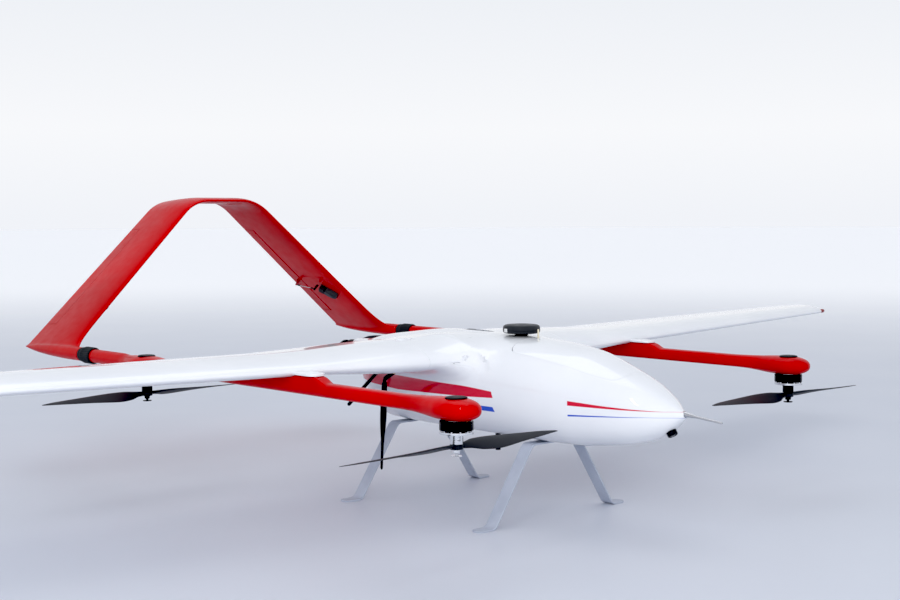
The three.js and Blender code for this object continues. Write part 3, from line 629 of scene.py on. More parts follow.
def tinted_lens(name, color):
    """Clear plastic or glass with a tint."""
    shader = Shader(name, color, 0.08, coat=1.0)
    shader.surface.inputs["Transmission Weight"].default_value = 0.6
    shader.surface.inputs["IOR"].default_value = 1.49
    dark = tuple(0.6 * value for value in color)
    shader.set("Base Color", shader.mix(shader.noise(60.0, 3.0), dark, color))
    shader.bump(shader.noise(300.0, 2.0), 0.1, 0.04)
    return shader.material


def shrink_wrap(name):
    """The printed film round a battery pack, with fine creases."""
    shader = Shader(name, (0.02, 0.05, 0.16), 0.35, coat=0.4, coat_roughness=0.15)
    creases = shader.noise(18.0, 6.0, 0.65)
    shader.set("Base Color", shader.mix(creases, (0.012, 0.03, 0.11), (0.03, 0.065, 0.2)))
    shader.set("Roughness", shader.remap(creases, 0.3, 0.7, 0.25, 0.45))
    shader.bump(creases, 0.35, 0.6)
    return shader.material


def studio_floor(name):
    """A pale floor with painted light: far out it grows lighter and glows, a painted stand-in for the light
    falling off across a studio sweep, where it meets the studio's backdrop.
    """
    shader = Shader(name, (0.66, 0.69, 0.76), 0.45)
    broad = shader.noise(0.35, 3.0)
    near = shader.mix(broad, (0.64, 0.67, 0.75), (0.67, 0.70, 0.77))
    distance = shader.node("ShaderNodeVectorMath", {0: shader.position}, operation="LENGTH").outputs["Value"]
    # Mask of the painted light: 0 near the craft, 1 far out.
    far = shader.remap(distance, 1.5, 9.0, smooth=True)
    shader.set("Base Color", shader.mix(far, near, (0.99, 0.99, 1.0)))
    # Painted light: the far floor glows, so that it is as bright as the sky at the horizon.
    shader.surface.inputs["Emission Color"].default_value = (0.95, 0.97, 1.0, 1.0)
    shader.set("Emission Strength", shader.math("MULTIPLY", far, 0.20))
    shader.set("Roughness", shader.remap(shader.noise(3.0, 4.0), 0.3, 0.7, 0.42, 0.5))
    return shader.material


WHITES = ((0.80, 0.82, 0.86), (0.86, 0.875, 0.905))
WHITE = gloss_paint("white_paint", *WHITES)
HULL_WHITE = gloss_paint("white_paint_hull", *WHITES, hull_marks)
WING_WHITE = gloss_paint("white_paint_wing", *WHITES, wing_marks)
RED = gloss_paint("red_paint", (0.50, 0.0, 0.0008), (0.60, 0.0, 0.001), roughness=0.4)
BLACK = moulded_plastic("black_plastic", (0.008, 0.0085, 0.01), (0.015, 0.016, 0.018))
RUBBER = moulded_plastic("ribbed_rubber", (0.018, 0.02, 0.022), (0.03, 0.033, 0.036), 0.62, 500.0)
DARK_GREY = moulded_plastic("dark_grey_plastic", (0.022, 0.024, 0.028), (0.04, 0.043, 0.048), 0.42)
DARK_RED = moulded_plastic("dark_red_plastic", (0.16, 0.004, 0.01), (0.26, 0.006, 0.015), 0.4)
PALE_LABEL = moulded_plastic("pale_plastic", (0.55, 0.57, 0.58), (0.75, 0.76, 0.76), 0.4)
IVORY = moulded_plastic("ivory_plastic", (0.62, 0.57, 0.42), (0.78, 0.72, 0.56), 0.4)
CARBON = woven_carbon("carbon_fibre")
STEEL = turned_metal("polished_steel", (0.50, 0.51, 0.53), (0.68, 0.69, 0.71), 0.22)
ALUMINIUM = turned_metal("motor_aluminium", (0.72, 0.73, 0.76), (0.86, 0.87, 0.9), 0.2)
ANODISED = turned_metal("black_anodised", (0.008, 0.008, 0.01), (0.02, 0.02, 0.024), 0.34)
GOLD = turned_metal("gold_plated", (0.62, 0.42, 0.14), (0.82, 0.6, 0.25), 0.25)
COPPER = turned_metal("copper_wire", (0.45, 0.17, 0.07), (0.7, 0.3, 0.14), 0.3, (1.0, 1.0, 9.0))
COMPOSITE = moulded_plastic("grey_composite", (0.43, 0.47, 0.56), (0.50, 0.54, 0.63), 0.42, 700.0, 0.12)
RED_LENS = tinted_lens("red_lens", (0.6, 0.02, 0.02))
GREEN_LENS = tinted_lens("green_lens", (0.02, 0.4, 0.1))
LENS_GLASS = tinted_lens("camera_glass", (0.012, 0.014, 0.03))
WRAP = shrink_wrap("battery_wrap")
FLOOR = studio_floor("studio_floor")


# ---- hull ----
hull_at = through(HULL, np.sqrt)


def oval(x, station, half, bottom, top, power, count, upper_power=None):
    """An oval ring with flattened sides, in the plane of one station."""
    angle = 2 * math.pi * (np.arange(count) + 0.5) / count
    c, s = np.cos(angle), np.sin(angle)
    powers = np.where(s > 0, upper_power or power, power)
    across = np.sign(c) * np.abs(c) ** (2 / powers) * half
    up = np.sign(s) * np.abs(s) ** (2 / powers) * (top - bottom) / 2
    return np.column_stack([x + across, np.full(count, station - ORIGIN_STATION), (top + bottom) / 2 + up])


def hull_loft(name, inset, stations, count):
    rings = []
    for station in stations:
        crown, keel, half = hull_at(station)[0]
        if half < 1:
            rings.append(place(0, station, (crown + keel) / 2)[None])
        else:
            rings.append(oval(0, station, half - inset, keel + inset, crown - inset, HULL_POWER, count))
    return loft(name, rings)


def hull_distance(points):
    station = np.clip(points[:, 1] + ORIGIN_STATION, 0.5, HULL_END)
    crown, keel, half = hull_at(station).T
    middle, up = (crown + keel) / 2, (crown - keel) / 2
    a = np.maximum(np.abs(points[:, 0]) / half, 1e-6)
    b = np.maximum(np.abs(points[:, 2] - middle) / up, 1e-6)
    norm = (a ** HULL_POWER + b ** HULL_POWER) ** (1 / HULL_POWER)
    slope = np.hypot((a / norm) ** (HULL_POWER - 1) / half, (b / norm) ** (HULL_POWER - 1) / up)
    return (norm - 1) / slope


def hull_top(x, station):
    crown, keel, half = hull_at(station)[0]
    share = max(0.0, 1 - abs(x / half) ** HULL_POWER)
    return (crown + keel) / 2 + (crown - keel) / 2 * share ** (1 / HULL_POWER)


# ---- wing shape ----
def foil_half(u, thickness):
    u = np.clip(u, 0, 1)
    curve = 0.2969 * np.sqrt(u) - 0.126 * u - 0.3516 * u ** 2 + 0.2843 * u ** 3 - 0.0996 * u ** 4
    return 5 * thickness * curve + 0.003 * u


def foil_mean(u, camber=CAMBER):
    u = np.clip(u, 0, 1)
    return np.where(
        u < 0.4, camber * (0.8 * u - u * u) / 0.16, camber * (0.2 + 0.8 * u - u * u) / 0.36
    )


def foil_outline(steps):
    """[fraction of chord, side] pairs from the upper trailing edge round the nose to the lower one."""
    fraction = (1 + np.cos(np.pi * np.arange(steps + 1) / steps)) / 2
    u = np.concatenate([fraction, fraction[::-1][1:]])
    side = np.concatenate([np.ones(steps + 1), -np.ones(steps)])
    return u, side


def wing_shape(x):
    span = np.abs(x)
    near_hull = np.clip(1 - np.maximum(0, span - 100) / 70, 0, 1) ** 2
    to_panel = smoothstep(WING_ROOT, 440.0, span)
    past = np.clip((span - ROUND_START) / 50, 0, 1)
    tip = np.sqrt(1 - past ** 2)
    nose_back = 34 * (1 - tip)
    station = 402.4 + 0.165 * span + nose_back - 26 * near_hull
    height = 286.3 + 0.004 * span
    chord = 378.8 - 0.12 * span - 1.5 * nose_back + 26 * near_hull
    thickness = (0.16 + (0.11 - 0.16) * to_panel) * np.maximum(tip, 0.06) + 0.02 * near_hull
    return station, height, chord, thickness


def wing_ring(x, steps=60, inset=0.0):
    station, height, chord, thickness = wing_shape(x)
    u, side = foil_outline(steps)
    v = foil_mean(u) + side * np.maximum(foil_half(u, thickness) - inset / chord, 0.0006)
    u = 0.5 + (u - 0.5) * (1 - 2 * inset / chord)
    c, s = math.cos(INCIDENCE), math.sin(INCIDENCE)
    aft = station + chord * (u * c + v * s)
    up = height + chord * (v * c - u * s)
    return np.column_stack([np.full(len(u), x), aft - ORIGIN_STATION, up])


def wing_skin(x, fraction, side=1):
    """Station and height of the wing's upper (1) or lower (-1) skin over a fraction of the chord."""
    station, height, chord, thickness = wing_shape(x)
    v = foil_mean(fraction) + side * foil_half(fraction, thickness)
    c, s = math.cos(INCIDENCE), math.sin(INCIDENCE)
    return station + chord * (fraction * c + v * s), height + chord * (v * c - fraction * s)


def section_distance(u, v, chord, thickness, camber, steps=60):
    """Distance from an aerofoil section, point by point, negative inside."""
    knots = (1 - np.cos(np.linspace(0, math.pi, steps))) / 2
    mean = foil_mean(knots, camber)[None]
    half = foil_half(knots[None], thickness[:, None])
    line_u = np.concatenate([knots, knots[::-1]])[None]
    line_v = np.concatenate([mean + half, (mean - half)[:, ::-1]], axis=1)
    du, dv = np.diff(line_u, axis=1), np.diff(line_v, axis=1)
    pu, pv = u[:, None] - line_u[:, :-1], v[:, None] - line_v[:, :-1]
    t = np.clip((pu * du + pv * dv) / np.maximum(du ** 2 + dv ** 2, 1e-12), 0, 1)
    distance = np.sqrt(((pu - t * du) ** 2 + (pv - t * dv) ** 2).min(axis=1))
    inside = (u > 0) & (u < 1) & (np.abs(v - foil_mean(u, camber)) < foil_half(u, thickness))
    return np.where(inside, -distance, distance) * chord


def wing_distance(points):
    station, height, chord, thickness = wing_shape(points[:, 0])
    aft, up = points[:, 1] + ORIGIN_STATION - station, points[:, 2] - height
    c, s = math.cos(INCIDENCE), math.sin(INCIDENCE)
    u, v = (aft * c - up * s) / chord, (aft * s + up * c) / chord
    return section_distance(u, v, chord, thickness, CAMBER)


def wing_loft(name, spans, steps=60, ends=(None, None)):
    """A wing skin; the ends may be pulled in a little, which leaves a fine groove at the joint."""
    rings = [wing_ring(x, steps) for x in spans]
    for where, inset in zip((0, -1), ends):
        if inset:
            inner = spans[where] + 0.7 * (1 if spans[where] < spans[-1 - where] else -1)
            rings[where] = wing_ring(spans[where], steps, inset)
            rings.insert(1 if where == 0 else len(rings) - 1, wing_ring(inner, steps))
    return loft(name, rings)


# ---- hatch outline and hull ----
def curve_to(start, control, end, steps=8):
    t = np.linspace(0, 1, steps + 1)[1:, None]
    return list((1 - t) ** 2 * start + 2 * t * (1 - t) * control + t * t * end)


def hatch_outline(inset):
    front, rear = 110 + inset - ORIGIN_STATION, 346 - inset - ORIGIN_STATION
    front_half, rear_half = 52 - inset, 77 - inset
    straight, bend = 270 - ORIGIN_STATION, 195 - ORIGIN_STATION
    corner = np.array([front_half, front + 14])
    side = [np.array([rear_half - 24, rear])]
    side += curve_to(side[-1], np.array([rear_half, rear]), np.array([rear_half, rear - 26]))
    side += [np.array([rear_half, straight])]
    side += curve_to(side[-1], np.array([rear_half, bend]), corner, 14)
    side += curve_to(side[-1], np.array([front_half - 4, front]), np.array([front_half - 26, front]))
    side = np.array(side)
    return np.concatenate([side, side[::-1] * [-1, 1]])


def hull_stations():
    nose = np.linspace(0, math.sqrt(60), 26) ** 2
    return np.concatenate([nose, np.linspace(66, HULL_END, 134)])


def cavity():
    return hull_loft("cavity", HULL_SKIN, np.linspace(30, 820, 80), 72)


def spar_bore(half):
    ends = [place(x, SPAR["station"], SPAR["z"]) for x in (-half, half)]
    radius = SPAR["radius"] + 0.9
    return turned("bore", box(0, 0, radius, 2 * half), *ends, fillet=0)


LATCH_FLOOR = wing_skin(165.0, 0.29)[1] - 4


def latch_pocket(side):
    y = LATCH_STATION - ORIGIN_STATION
    outline = filleted(box(142, y - 8, 181, y + 8), 3, looped=True)
    pocket = raised("pocket", outline, LATCH_FLOOR, LATCH_FLOOR + 20)
    return pocket if side > 0 else flipped(pocket)


def flipped(obj):
    """Turns a shape into its mirror image about the middle plane."""
    points = points_of(obj)
    points[:, 0] *= -1
    move_points(obj, points)
    obj.data.flip_normals()
    return obj


def root_fairing(side, field):
    """The skin that eases one wing root into the hull, from the upper trailing edge round the nose
    to the lower one, laid out as a grid and settled on the blended shape."""
    spans = np.linspace(20, WING_ROOT, 200)
    skins = np.array([wing_ring(side * x, ROOT_STEPS) for x in spans])
    count = skins.shape[1]
    outside = hull_distance(skins.reshape(-1, 3)).reshape(len(spans), count) > 0
    first_out = np.clip(outside.argmax(axis=0), 1, None)
    foot = skins[first_out, np.arange(count)]
    kept = [0]
    for k in range(1, count):
        if np.linalg.norm(foot[k] - foot[kept[-1]]) > ROOT_SPACING:
            kept.append(k)
    foot = foot[kept]
    count = len(kept)
    away = unit(gradient(wing_distance, foot, 0.2))
    outboard = np.array([side, 0.0, 0.0])
    across = np.linspace(-1, 1, ROOT_ROWS)
    rows = []
    for t in across:
        start = foot + ROOT_WIDTH * (max(-t, 0) * outboard + max(t, 0) * away)
        rows.append(start + ROOT_BULGE * (1 - abs(t)) * unit(away + outboard))
    grid = settle(np.concatenate(rows), field, 8, 6.0).reshape(len(across), count, 3)
    for _ in range(ROOT_PASSES):
        grid[:, 1:-1] = (grid[:, :-2] + 2 * grid[:, 1:-1] + grid[:, 2:]) / 4
        grid[1:-1] = (grid[:-2] + 2 * grid[1:-1] + grid[2:]) / 4
    grid = settle(grid.reshape(-1, 3), field, 3)
    slope = unit(gradient(field, grid, 0.2))
    lift = np.repeat(0.12 - 1.3 * smoothstep(0.86, 1.0, np.abs(across)), count)[:, None]
    outer = (grid + lift * slope).reshape(len(across), count, 3)
    buried = foot - ROOT_DEPTH * unit(away + outboard)
    rings = [np.concatenate([outer[:, k], buried[k:k + 1]]) for k in range(count)]
    fairing = loft("fairing", rings)
    if side < 0:
        fairing.data.flip_normals()
    return fairing


def build_hull():
    hull = hull_loft("fuselage", 0, hull_stations(), 144)
    edge = WING_ROOT - GAP / 2
    spans = np.concatenate([
        np.linspace(-edge, -60, 42), np.linspace(-50, 50, 11), np.linspace(60, edge, 42),
    ])
    boolean(hull, "UNION", wing_loft("centre", spans, 60, (0.5, 0.5)))
    field = blended_field(hull_distance, wing_distance, ROOT_REACH)
    boolean(hull, "UNION", root_fairing(1, field), root_fairing(-1, field))
    hatch_hole = raised("hole", hatch_outline(0), HATCH_BOTTOM, HATCH_TOP)
    camera_seat = turned("seat", box(0, 0, 9.6, 40), place(0, 40, 198), place(0, 28, 179))
    pitot_seat = turned("seat", box(0, 0, 5.5, 40), place(0, 8, 219.3), place(0, -72, 211.8))
    boolean(
        hull, "DIFFERENCE", cavity(), hatch_hole, spar_bore(WING_ROOT + 5), camera_seat, pitot_seat,
        latch_pocket(1), latch_pocket(-1),
    )
    finish(hull, "airframe", HULL_WHITE)
    true_normals(hull, field)


def build_hatch():
    hatch = hull_loft("top_hatch", 0, hull_stations(), 144)
    boolean(hatch, "INTERSECT", raised("outline", hatch_outline(0.9), HATCH_BOTTOM, HATCH_TOP))
    boolean(hatch, "DIFFERENCE", cavity())
    finish(hatch, "hatch", HULL_WHITE)
    true_normals(hatch, hull_distance)
    foot = place(0, 341, hull_top(0, 341) - 1.5)
    tip = foot + [0, 0, 17.5]
    profile = [[0, 0], [2.6, 0], [2.6, 1.8], [1.7, 3], [1.7, 16], [1.2, 17.3], [0, 17.3]]
    finish(turned("hatch_post", profile, foot, tip), "hatch", IVORY)


def build_hatch_seal():
    """The foam strip under the hatch's edge."""
    outline = hatch_outline(0)
    rings = []
    count = len(outline)
    for i, point in enumerate(outline):
        along = outline[(i + 1) % count] - outline[i - 1]
        inward = np.array([-along[1], along[0]]) / np.linalg.norm(along)
        if np.dot(inward, -(point - outline.mean(0))) < 0:
            inward = -inward
        ring = []
        for offset, drop in ((-5, 3.4), (-5, 6.4), (4, 6.4), (4.6, 5.8), (4.6, 4.0), (4, 3.4)):
            x, y = point + inward * offset
            ring.append([x, y, hull_top(x, y + ORIGIN_STATION) - drop])
        rings.append(np.array(ring))
    seal = loft("hatch_seal", rings, joined=True)
    finish(seal, "airframe", RUBBER)


# ---- wing panels ----
def aileron_block(side, clearance, lean):
    rings = []
    for span in (AILERON["inner"] + clearance, AILERON["outer"] - clearance):
        station, z = wing_skin(span, AILERON["hinge"])
        front = station + clearance
        outline = [[0, 30], [0, 0], [40 * lean, -40], [160, -40], [160, 30]]
        rings.append(np.array([place(side * span, front + aft, z + up) for aft, up in outline]))
    return loft("block", rings)


def boss(side):
    """The moulded boss under the leading edge that the boom is bolted to: a flat foot, upright sides
    and a crowned top."""
    rings = []
    for level, inset in ((0, 0.6), (0.08, 0), (0.75, 0), (0.93, 0.8), (1.0, 2.6)):
        half = BOSS["half"] - inset
        angle = np.linspace(math.pi, 0, 25)
        nose = [[math.cos(a) * half, BOSS["round"] - math.sin(a) * half] for a in angle]
        outline = nose + [[half, BOSS["end"]], [-half, BOSS["end"]]]
        ring = []
        for across, station in outline:
            crown = BOSS["crown"] + 0.09 * min(max(station - 430, 0), 40) - 0.008 * across ** 2
            height = BOSS["foot"] + level * (crown - BOSS["foot"])
            ring.append(place(side * BOOM_X + across, station, height))
        rings.append(np.array(ring))
    return loft("boss", rings)


def light_seat(name, side, grow):
    """The egg-shaped lamp let into the leading edge near the tip."""
    station, height, _, _ = wing_shape(1428.0)
    centre = place(side * 1428, station + 1.5, height + 0.5)
    angles = np.linspace(-math.pi / 2, math.pi / 2, 25)
    profile = [[(5.25 + grow) * math.cos(a), (11 + grow) * math.sin(a)] for a in angles]
    profile[0][0] = profile[-1][0] = 0
    return turned(name, profile, centre, centre + [side, 0, 0], 40, fillet=0)


def build_wing(name, side):
    inner = WING_ROOT + GAP / 2
    round_tip = ROUND_START + (WING_TIP - ROUND_START) * np.sin(np.linspace(0.1, math.pi / 2, 16))
    spans = np.concatenate([np.linspace(inner, ROUND_START, 118), round_tip])
    skin = wing_loft(f"wing_{name}", side * spans, 60, (0.5, None))
    aileron = copy_of(skin, f"aileron_{name}")
    boolean(skin, "UNION", boss(side))
    boolean(
        skin, "DIFFERENCE", spar_bore(SPAR["half"] + 2), aileron_block(side, 0, 0),
        light_seat("seat", side, GAP),
    )
    boolean(aileron, "INTERSECT", aileron_block(side, 1.2, HINGE_BEVEL))
    for panel, body in ((skin, "airframe"), (aileron, f"aileron_{name}")):
        finish(panel, body, WING_WHITE)
        true_normals(panel, wing_distance, 0.05)
    lamp = light_seat(f"nav_light_{name}", side, 0)
    finish(lamp, "airframe", RED_LENS if side > 0 else GREEN_LENS)
    build_latch(name, side)
    return skin


def build_latch(name, side):
    y = LATCH_STATION - ORIGIN_STATION
    outline = filleted(box(150, y - 7, 180, y + 7), 5, 6, looped=True)
    middle = np.array([166, y])
    rings = []
    for height, inset in ((GAP, 0.5), (0.9, 0), (5.6, 0), (6.7, 0.5), (7.0, 1.6)):
        scale = 1 - inset / 7
        ring = middle + (outline - middle) * [1 - inset / 15, scale]
        level = np.full(len(ring), LATCH_FLOOR + height)
        rings.append(np.column_stack([side * ring[:, 0], ring[:, 1], level]))
    latch = loft(f"wing_latch_{name}", rings)
    for offset in (158, 162, 166):
        top = LATCH_FLOOR + 7
        groove = swept("groove", [[side * offset, y - 5, top + 0.3], [side * offset, y + 5, top + 0.3]], 0.8)
        boolean(latch, "DIFFERENCE", groove)
    finish(latch, f"latch_{name}", WHITE)


# ---- booms ----
# Station, half width, bottom, top, power of the oval.
BOOM_ROWS = [
    [94, 32, 243.5, 279.3, 2.3], [112, 30, 243.8, 279, 2.3], [132, 25, 244.8, 278, 2.4],
    [158, 18.5, 247.3, 276.2, 2.6], [190, 14.4, 249.5, 274.8, 2.8], [225, 13, 250, 274, 3],
    [850, 13, 250, 274, 3], [886, 14.4, 249.5, 274.8, 2.8], [918, 18.5, 247.3, 276.2, 2.6],
    [944, 25, 244.8, 278, 2.4], [964, 30, 243.8, 279, 2.3], [982, 32, 243.5, 279.3, 2.3],
    [1000, 30, 244, 278.6, 2.3], [1022, 24, 246, 277.4, 2.2], [1046, 17, 248.5, 275.8, 2.1],
    [1074, 14, 250, 278, 2], [1186, 14, 250, 278, 2],
]
boom_at = through(BOOM_ROWS)


def boom_ring(side, station):
    half, bottom, top, power = boom_at(max(station, FRONT_MOTOR))[0]
    upper = power
    if station < FRONT_MOTOR:
        share = max(0.0, 1 - ((FRONT_MOTOR - station) / 44.0) ** 2)
        middle = (top + bottom) / 2 + 0.4
        half *= share ** 0.5
        bottom = middle - (middle - bottom) * share ** 0.42
        top = middle + (top - middle) * share ** 0.42
        if share < 1e-6:
            return place(side * BOOM_X, station, middle)[None]
    raise_by = smoothstep(398, 430, station) * (1 - smoothstep(600, 645, station))
    top += 9.3 * raise_by
    upper += 4 * raise_by
    return oval(side * BOOM_X, station, half, bottom, top, power, 56, upper)


def build_boom(name, side, wing):
    nose = FRONT_MOTOR - 44 * np.cos(np.linspace(0, math.pi / 2, 18))
    stations = np.concatenate([
        nose, np.linspace(98, 230, 34), np.linspace(250, 390, 8), np.linspace(396, 436, 17),
        np.linspace(450, 590, 15), np.linspace(598, 650, 14), np.linspace(680, 850, 8),
        np.linspace(856, 1080, 56), np.linspace(1100, 1186, 6),
    ])
    boom = loft(f"boom_{name}", [boom_ring(side, station) for station in stations])
    neck_length = BOOM_END - NUT_START + 3
    neck_ends = [place(side * BOOM_X, station, TUBE_Z) for station in (NUT_START - 3, BOOM_END)]
    boolean(boom, "UNION", turned("neck", box(0, 0, 12.6, neck_length), *neck_ends))
    for drop in (0.0, -0.4):
        clearance = copy_of(wing, "clearance")
        shift(clearance, (0, 0, drop))
        boolean(boom, "DIFFERENCE", clearance)
    tools = [spar_bore(SPAR["half"] + 2)]
    for station in (FRONT_MOTOR, REAR_MOTOR):
        centre = place(side * BOOM_X, station, 0)
        seat = box(0, 200, MOTOR_RADIUS + 3, MOTOR_SEAT)
        cap_pocket = box(0, 277.4, CAP_RADIUS + GAP, 290)
        for profile in (seat, cap_pocket):
            tools.append(turned("cut", profile, centre, centre + [0, 0, 1], 72, fillet=0))
    boolean(boom, "DIFFERENCE", *tools)
    finish(boom, "airframe", RED)
    build_coupling(name, side)


def build_coupling(name, side):
    """Ribbed nut with its plain sleeve."""
    def ribs(angle, height):
        depth = 0.045 * smoothstep(1, 5, height) * (1 - smoothstep(NUT_LENGTH - 5, NUT_LENGTH - 1, height))
        return 1 - depth * (np.abs(np.sin(12 * angle)) < 0.45)

    neck_end = BOOM_END + 2 - NUT_START
    sleeve = SLEEVE_END - NUT_START
    profile = [
        [13.2, 0], [15.8, 0], [17.4, 3], [17.4, NUT_LENGTH - 3], [16.2, NUT_LENGTH],
        [14.6, NUT_LENGTH + 0.4], [14.6, sleeve - 6], [15.1, sleeve - 5], [15.1, sleeve - 2],
        [14.6, sleeve], [11, sleeve], [11, neck_end], [13.2, neck_end],
    ]
    start = place(side * BOOM_X, NUT_START, TUBE_Z)
    nut = turned(f"coupling_nut_{name}", profile, start, start + [0, 1, 0], 192, 0.8, looped=True, ribs=ribs)
    finish(nut, f"coupling_nut_{name}", RUBBER, sharp=50)


# ---- propellers ----
# Fraction of the radius, chord, sweep, twist in degrees, thickness.
BLADE_ROWS = [
    [0.02, 11, 0, 26, 6.2], [0.1, 17, 0, 25, 5.6], [0.2, 34, -2, 22, 4.6], [0.34, 42, -4, 18, 3.8],
    [0.6, 33, -3, 12.5, 2.7], [0.86, 19, -3, 9, 1.7], [1, 5, -5, 8, 0.8],
]
blade_at = through(BLADE_ROWS)


def blade_ring(fraction, radius, chord_scale, spin, lift, turn, shrink=1.0):
    chord, sweep, twist, thickness = blade_at(min(fraction, 1.0))[0]
    chord, thickness = chord * shrink, thickness * shrink
    angle = np.linspace(0, 2 * math.pi, 32, endpoint=False)
    u = 0.5 * np.cos(angle)
    v = 0.5 * np.sin(angle) * (1 - 0.35 * np.cos(angle)) * np.where(np.sin(angle) > 0, 1.1, 0.75)
    v = v + 0.25 * (0.25 - u ** 2)
    along, up = -u * chord * chord_scale + sweep, v * thickness
    a = math.radians(twist)
    y = along * math.cos(a) - up * math.sin(a)
    z = along * math.sin(a) + up * math.cos(a)
    points = np.column_stack([np.full(32, fraction * radius), spin * y, lift * z])
    return points @ turn_about_z(turn)


def propeller(name, radius, chord_scale, spin, lift, hub, parked):
    """Two moulded blades on one hub; spin 1 turns from X to Y seen from +Z."""
    fractions = np.concatenate([np.linspace(0.02, 0.94, 46), [0.96, 0.975, 0.988]])
    shape = None
    for half_turn in (0, math.pi):
        turn = parked + half_turn
        rings = [blade_ring(f, radius, chord_scale, spin, lift, turn) for f in fractions]
        for f, shrink in ((0.995, 0.8), (0.999, 0.5), (1.0, 0.25)):
            rings.append(blade_ring(f, radius, chord_scale, spin, lift, turn, shrink))
        blade = loft(name if shape is None else "blade", rings)
        shape = blade if shape is None else boolean(shape, "UNION", blade)
    half = hub["half"]
    boolean(shape, "UNION", turned("hub", box(0, -half, hub["radius"], half), fillet=1.2))
    bore = turned("bore", box(0, -20, hub["bore"], 20), fillet=0)
    return boolean(shape, "DIFFERENCE", bore)


# ---- lift motors ----
# Side, station, parked angle in degrees, sense of rotation.
LIFT_MOTORS = {
    "front_left": (1, FRONT_MOTOR, -3.5, -1), "front_right": (-1, FRONT_MOTOR, 2.7, 1),
    "rear_left": (1, REAR_MOTOR, 4.0, 1), "rear_right": (-1, REAR_MOTOR, 2.0, -1),
}


def ring_of(name, make, count, centre):
    """Copies one small shape round the Z axis of a motor and joins them."""
    points, faces = [], []
    for k in range(count):
        part = make()
        start = len(points)
        points.extend(points_of(part) @ turn_about_z(2 * math.pi * k / count) + centre)
        faces.extend([start + v for v in face.vertices] for face in part.data.polygons)
        discard(part)
    return object_from(name, points, faces)


def build_lift_motor(name, side, station, parked, spin):
    centre = place(side * BOOM_X, station, 0)
    up = centre + [0, 0, 1]
    rotor = f"rotor_{name}"
    silver = name == "front_right"
    metal = ALUMINIUM if silver else ANODISED

    cap = [
        [0, 277.7], [16.6, 277.7], [CAP_RADIUS, 278.2], [CAP_RADIUS, 279.4], [15.6, 280.4],
        [9, 281.1], [0, 281.4],
    ]
    finish(turned(f"pod_cap_{name}", cap, centre, up), "airframe", BLACK)

    core = [[4, 245.7], [15, 245.7], [15, 243.2], [10, 243.2], [10, 233.8], [4, 233.8]]
    stator = turned(f"motor_stator_{name}", core, centre, up, 64, 0.3, looped=True)
    finish(stator, "airframe", STEEL)

    def coil():
        rings = []
        for radius, width, height in ((9.4, 2.2, 7.0), (10.5, 3.0, 8.4), (17.5, 4.4, 8.4), (18.4, 3.6, 7.2)):
            outline = filleted(box(-width, -height, width, height), 1.6, 4, looped=True)
            rings.append(np.array([[radius, a / 2, 238.6 + b / 2] for a, b in outline]))
        return loft("coil", rings)

    finish(ring_of(f"motor_windings_{name}", coil, 12, centre), "airframe", COPPER)

    can = [
        [22.6, 230.2], [22.6, 244.4], [25.4, 244.4], [MOTOR_RADIUS, 243.8], [MOTOR_RADIUS, 240.4],
        [25.7, 240.1], [25.7, 239.7], [MOTOR_RADIUS, 239.4], [MOTOR_RADIUS, 230.8], [25.6, 230.2],
    ]
    bell = turned(f"motor_bell_{name}", can, centre, up, 96, 0.15, looped=True)
    finish(bell, rotor, ANODISED)

    spoked = [
        [11, 226.4], [11, 229.6], [13.5, 229.6], [14.5, 227.4], [22.6, 227.4], [24.2, 228.6],
        [26.2, 228.6], [26.2, 224.8], [24.0, 224.8], [22.6, 225.6], [14, 225.6],
    ]
    rim = turned(f"motor_rim_{name}", spoked, centre, up, 96, 0.25, looped=True)

    def window():
        outline = filleted([[14.8, -1.4], [22.4, -3.0], [22.4, 3.0], [14.8, 1.4]], 1.4, 4, looped=True)
        return raised("window", outline, 222, 232)

    boolean(rim, "DIFFERENCE", ring_of("windows", window, 10, centre))
    finish(rim, rotor, ALUMINIUM)

    def spacer():
        return turned("post", box(0, 228.2, 1.2, 230.6), (24.6, 0, 0), (24.6, 0, 1), 16, 0.1)

    finish(ring_of(f"motor_posts_{name}", spacer, 12, centre), rotor, ALUMINIUM)

    shaft = [
        [0, 244.6], [3.2, 244.6], [3.2, 229.8], [10.9, 229.8], [10.9, 225.2], [10.3, 224.8],
        [10.3, 209.2], [4, 209.2], [4, 200.9], [3.1, 200.4], [3.1, 194.8], [0, 194.8],
    ]
    adapter = turned(f"propeller_adapter_{name}", shaft, centre, up, 64, 0.3)
    slot_box = bevelled_block("slot", (9, 6.2, 7), (8.6, 0, 218.0), bevel=0.8)
    turn = math.atan2(-0.55, -0.2) if silver else 0.6
    slot_box.data.transform(Matrix.Rotation(turn, 4, "Z"))
    shift(slot_box, centre)
    boolean(adapter, "DIFFERENCE", slot_box)
    finish(adapter, rotor, metal)

    washer = box(3.2, 200.6, 6.6, 199.4)
    finish(turned(f"propeller_washer_{name}", washer, centre, up, 48, 0.2, looped=True), rotor, metal)

    def six_flats(angle, height):
        flats = math.cos(math.pi / 6) / np.cos((angle + math.pi / 6) % (math.pi / 3) - math.pi / 6)
        return np.where(height > 194.5, flats, 1.0)

    nut = [
        [0, 199.3], [5.6, 199.3], [5.6, 195], [3.4, 194.4], [2.2, 193.4], [2.2, 192], [6.5, 191.6],
        [8.6, 191.3], [8.6, 190.1], [0, 190.1],
    ]
    nut = turned(f"propeller_nut_{name}", nut, centre, up, 72, 0.25, ribs=six_flats)
    finish(nut, rotor, metal)

    hub = {"radius": 10.3, "half": 3.8, "bore": 4.5}
    blades = propeller(f"propeller_{name}", PROPELLER_RADIUS, 1.0, spin, 1, hub, math.radians(parked))
    shift(blades, centre + [0, 0, PROPELLER_Z])
    finish(blades, rotor, CARBON)


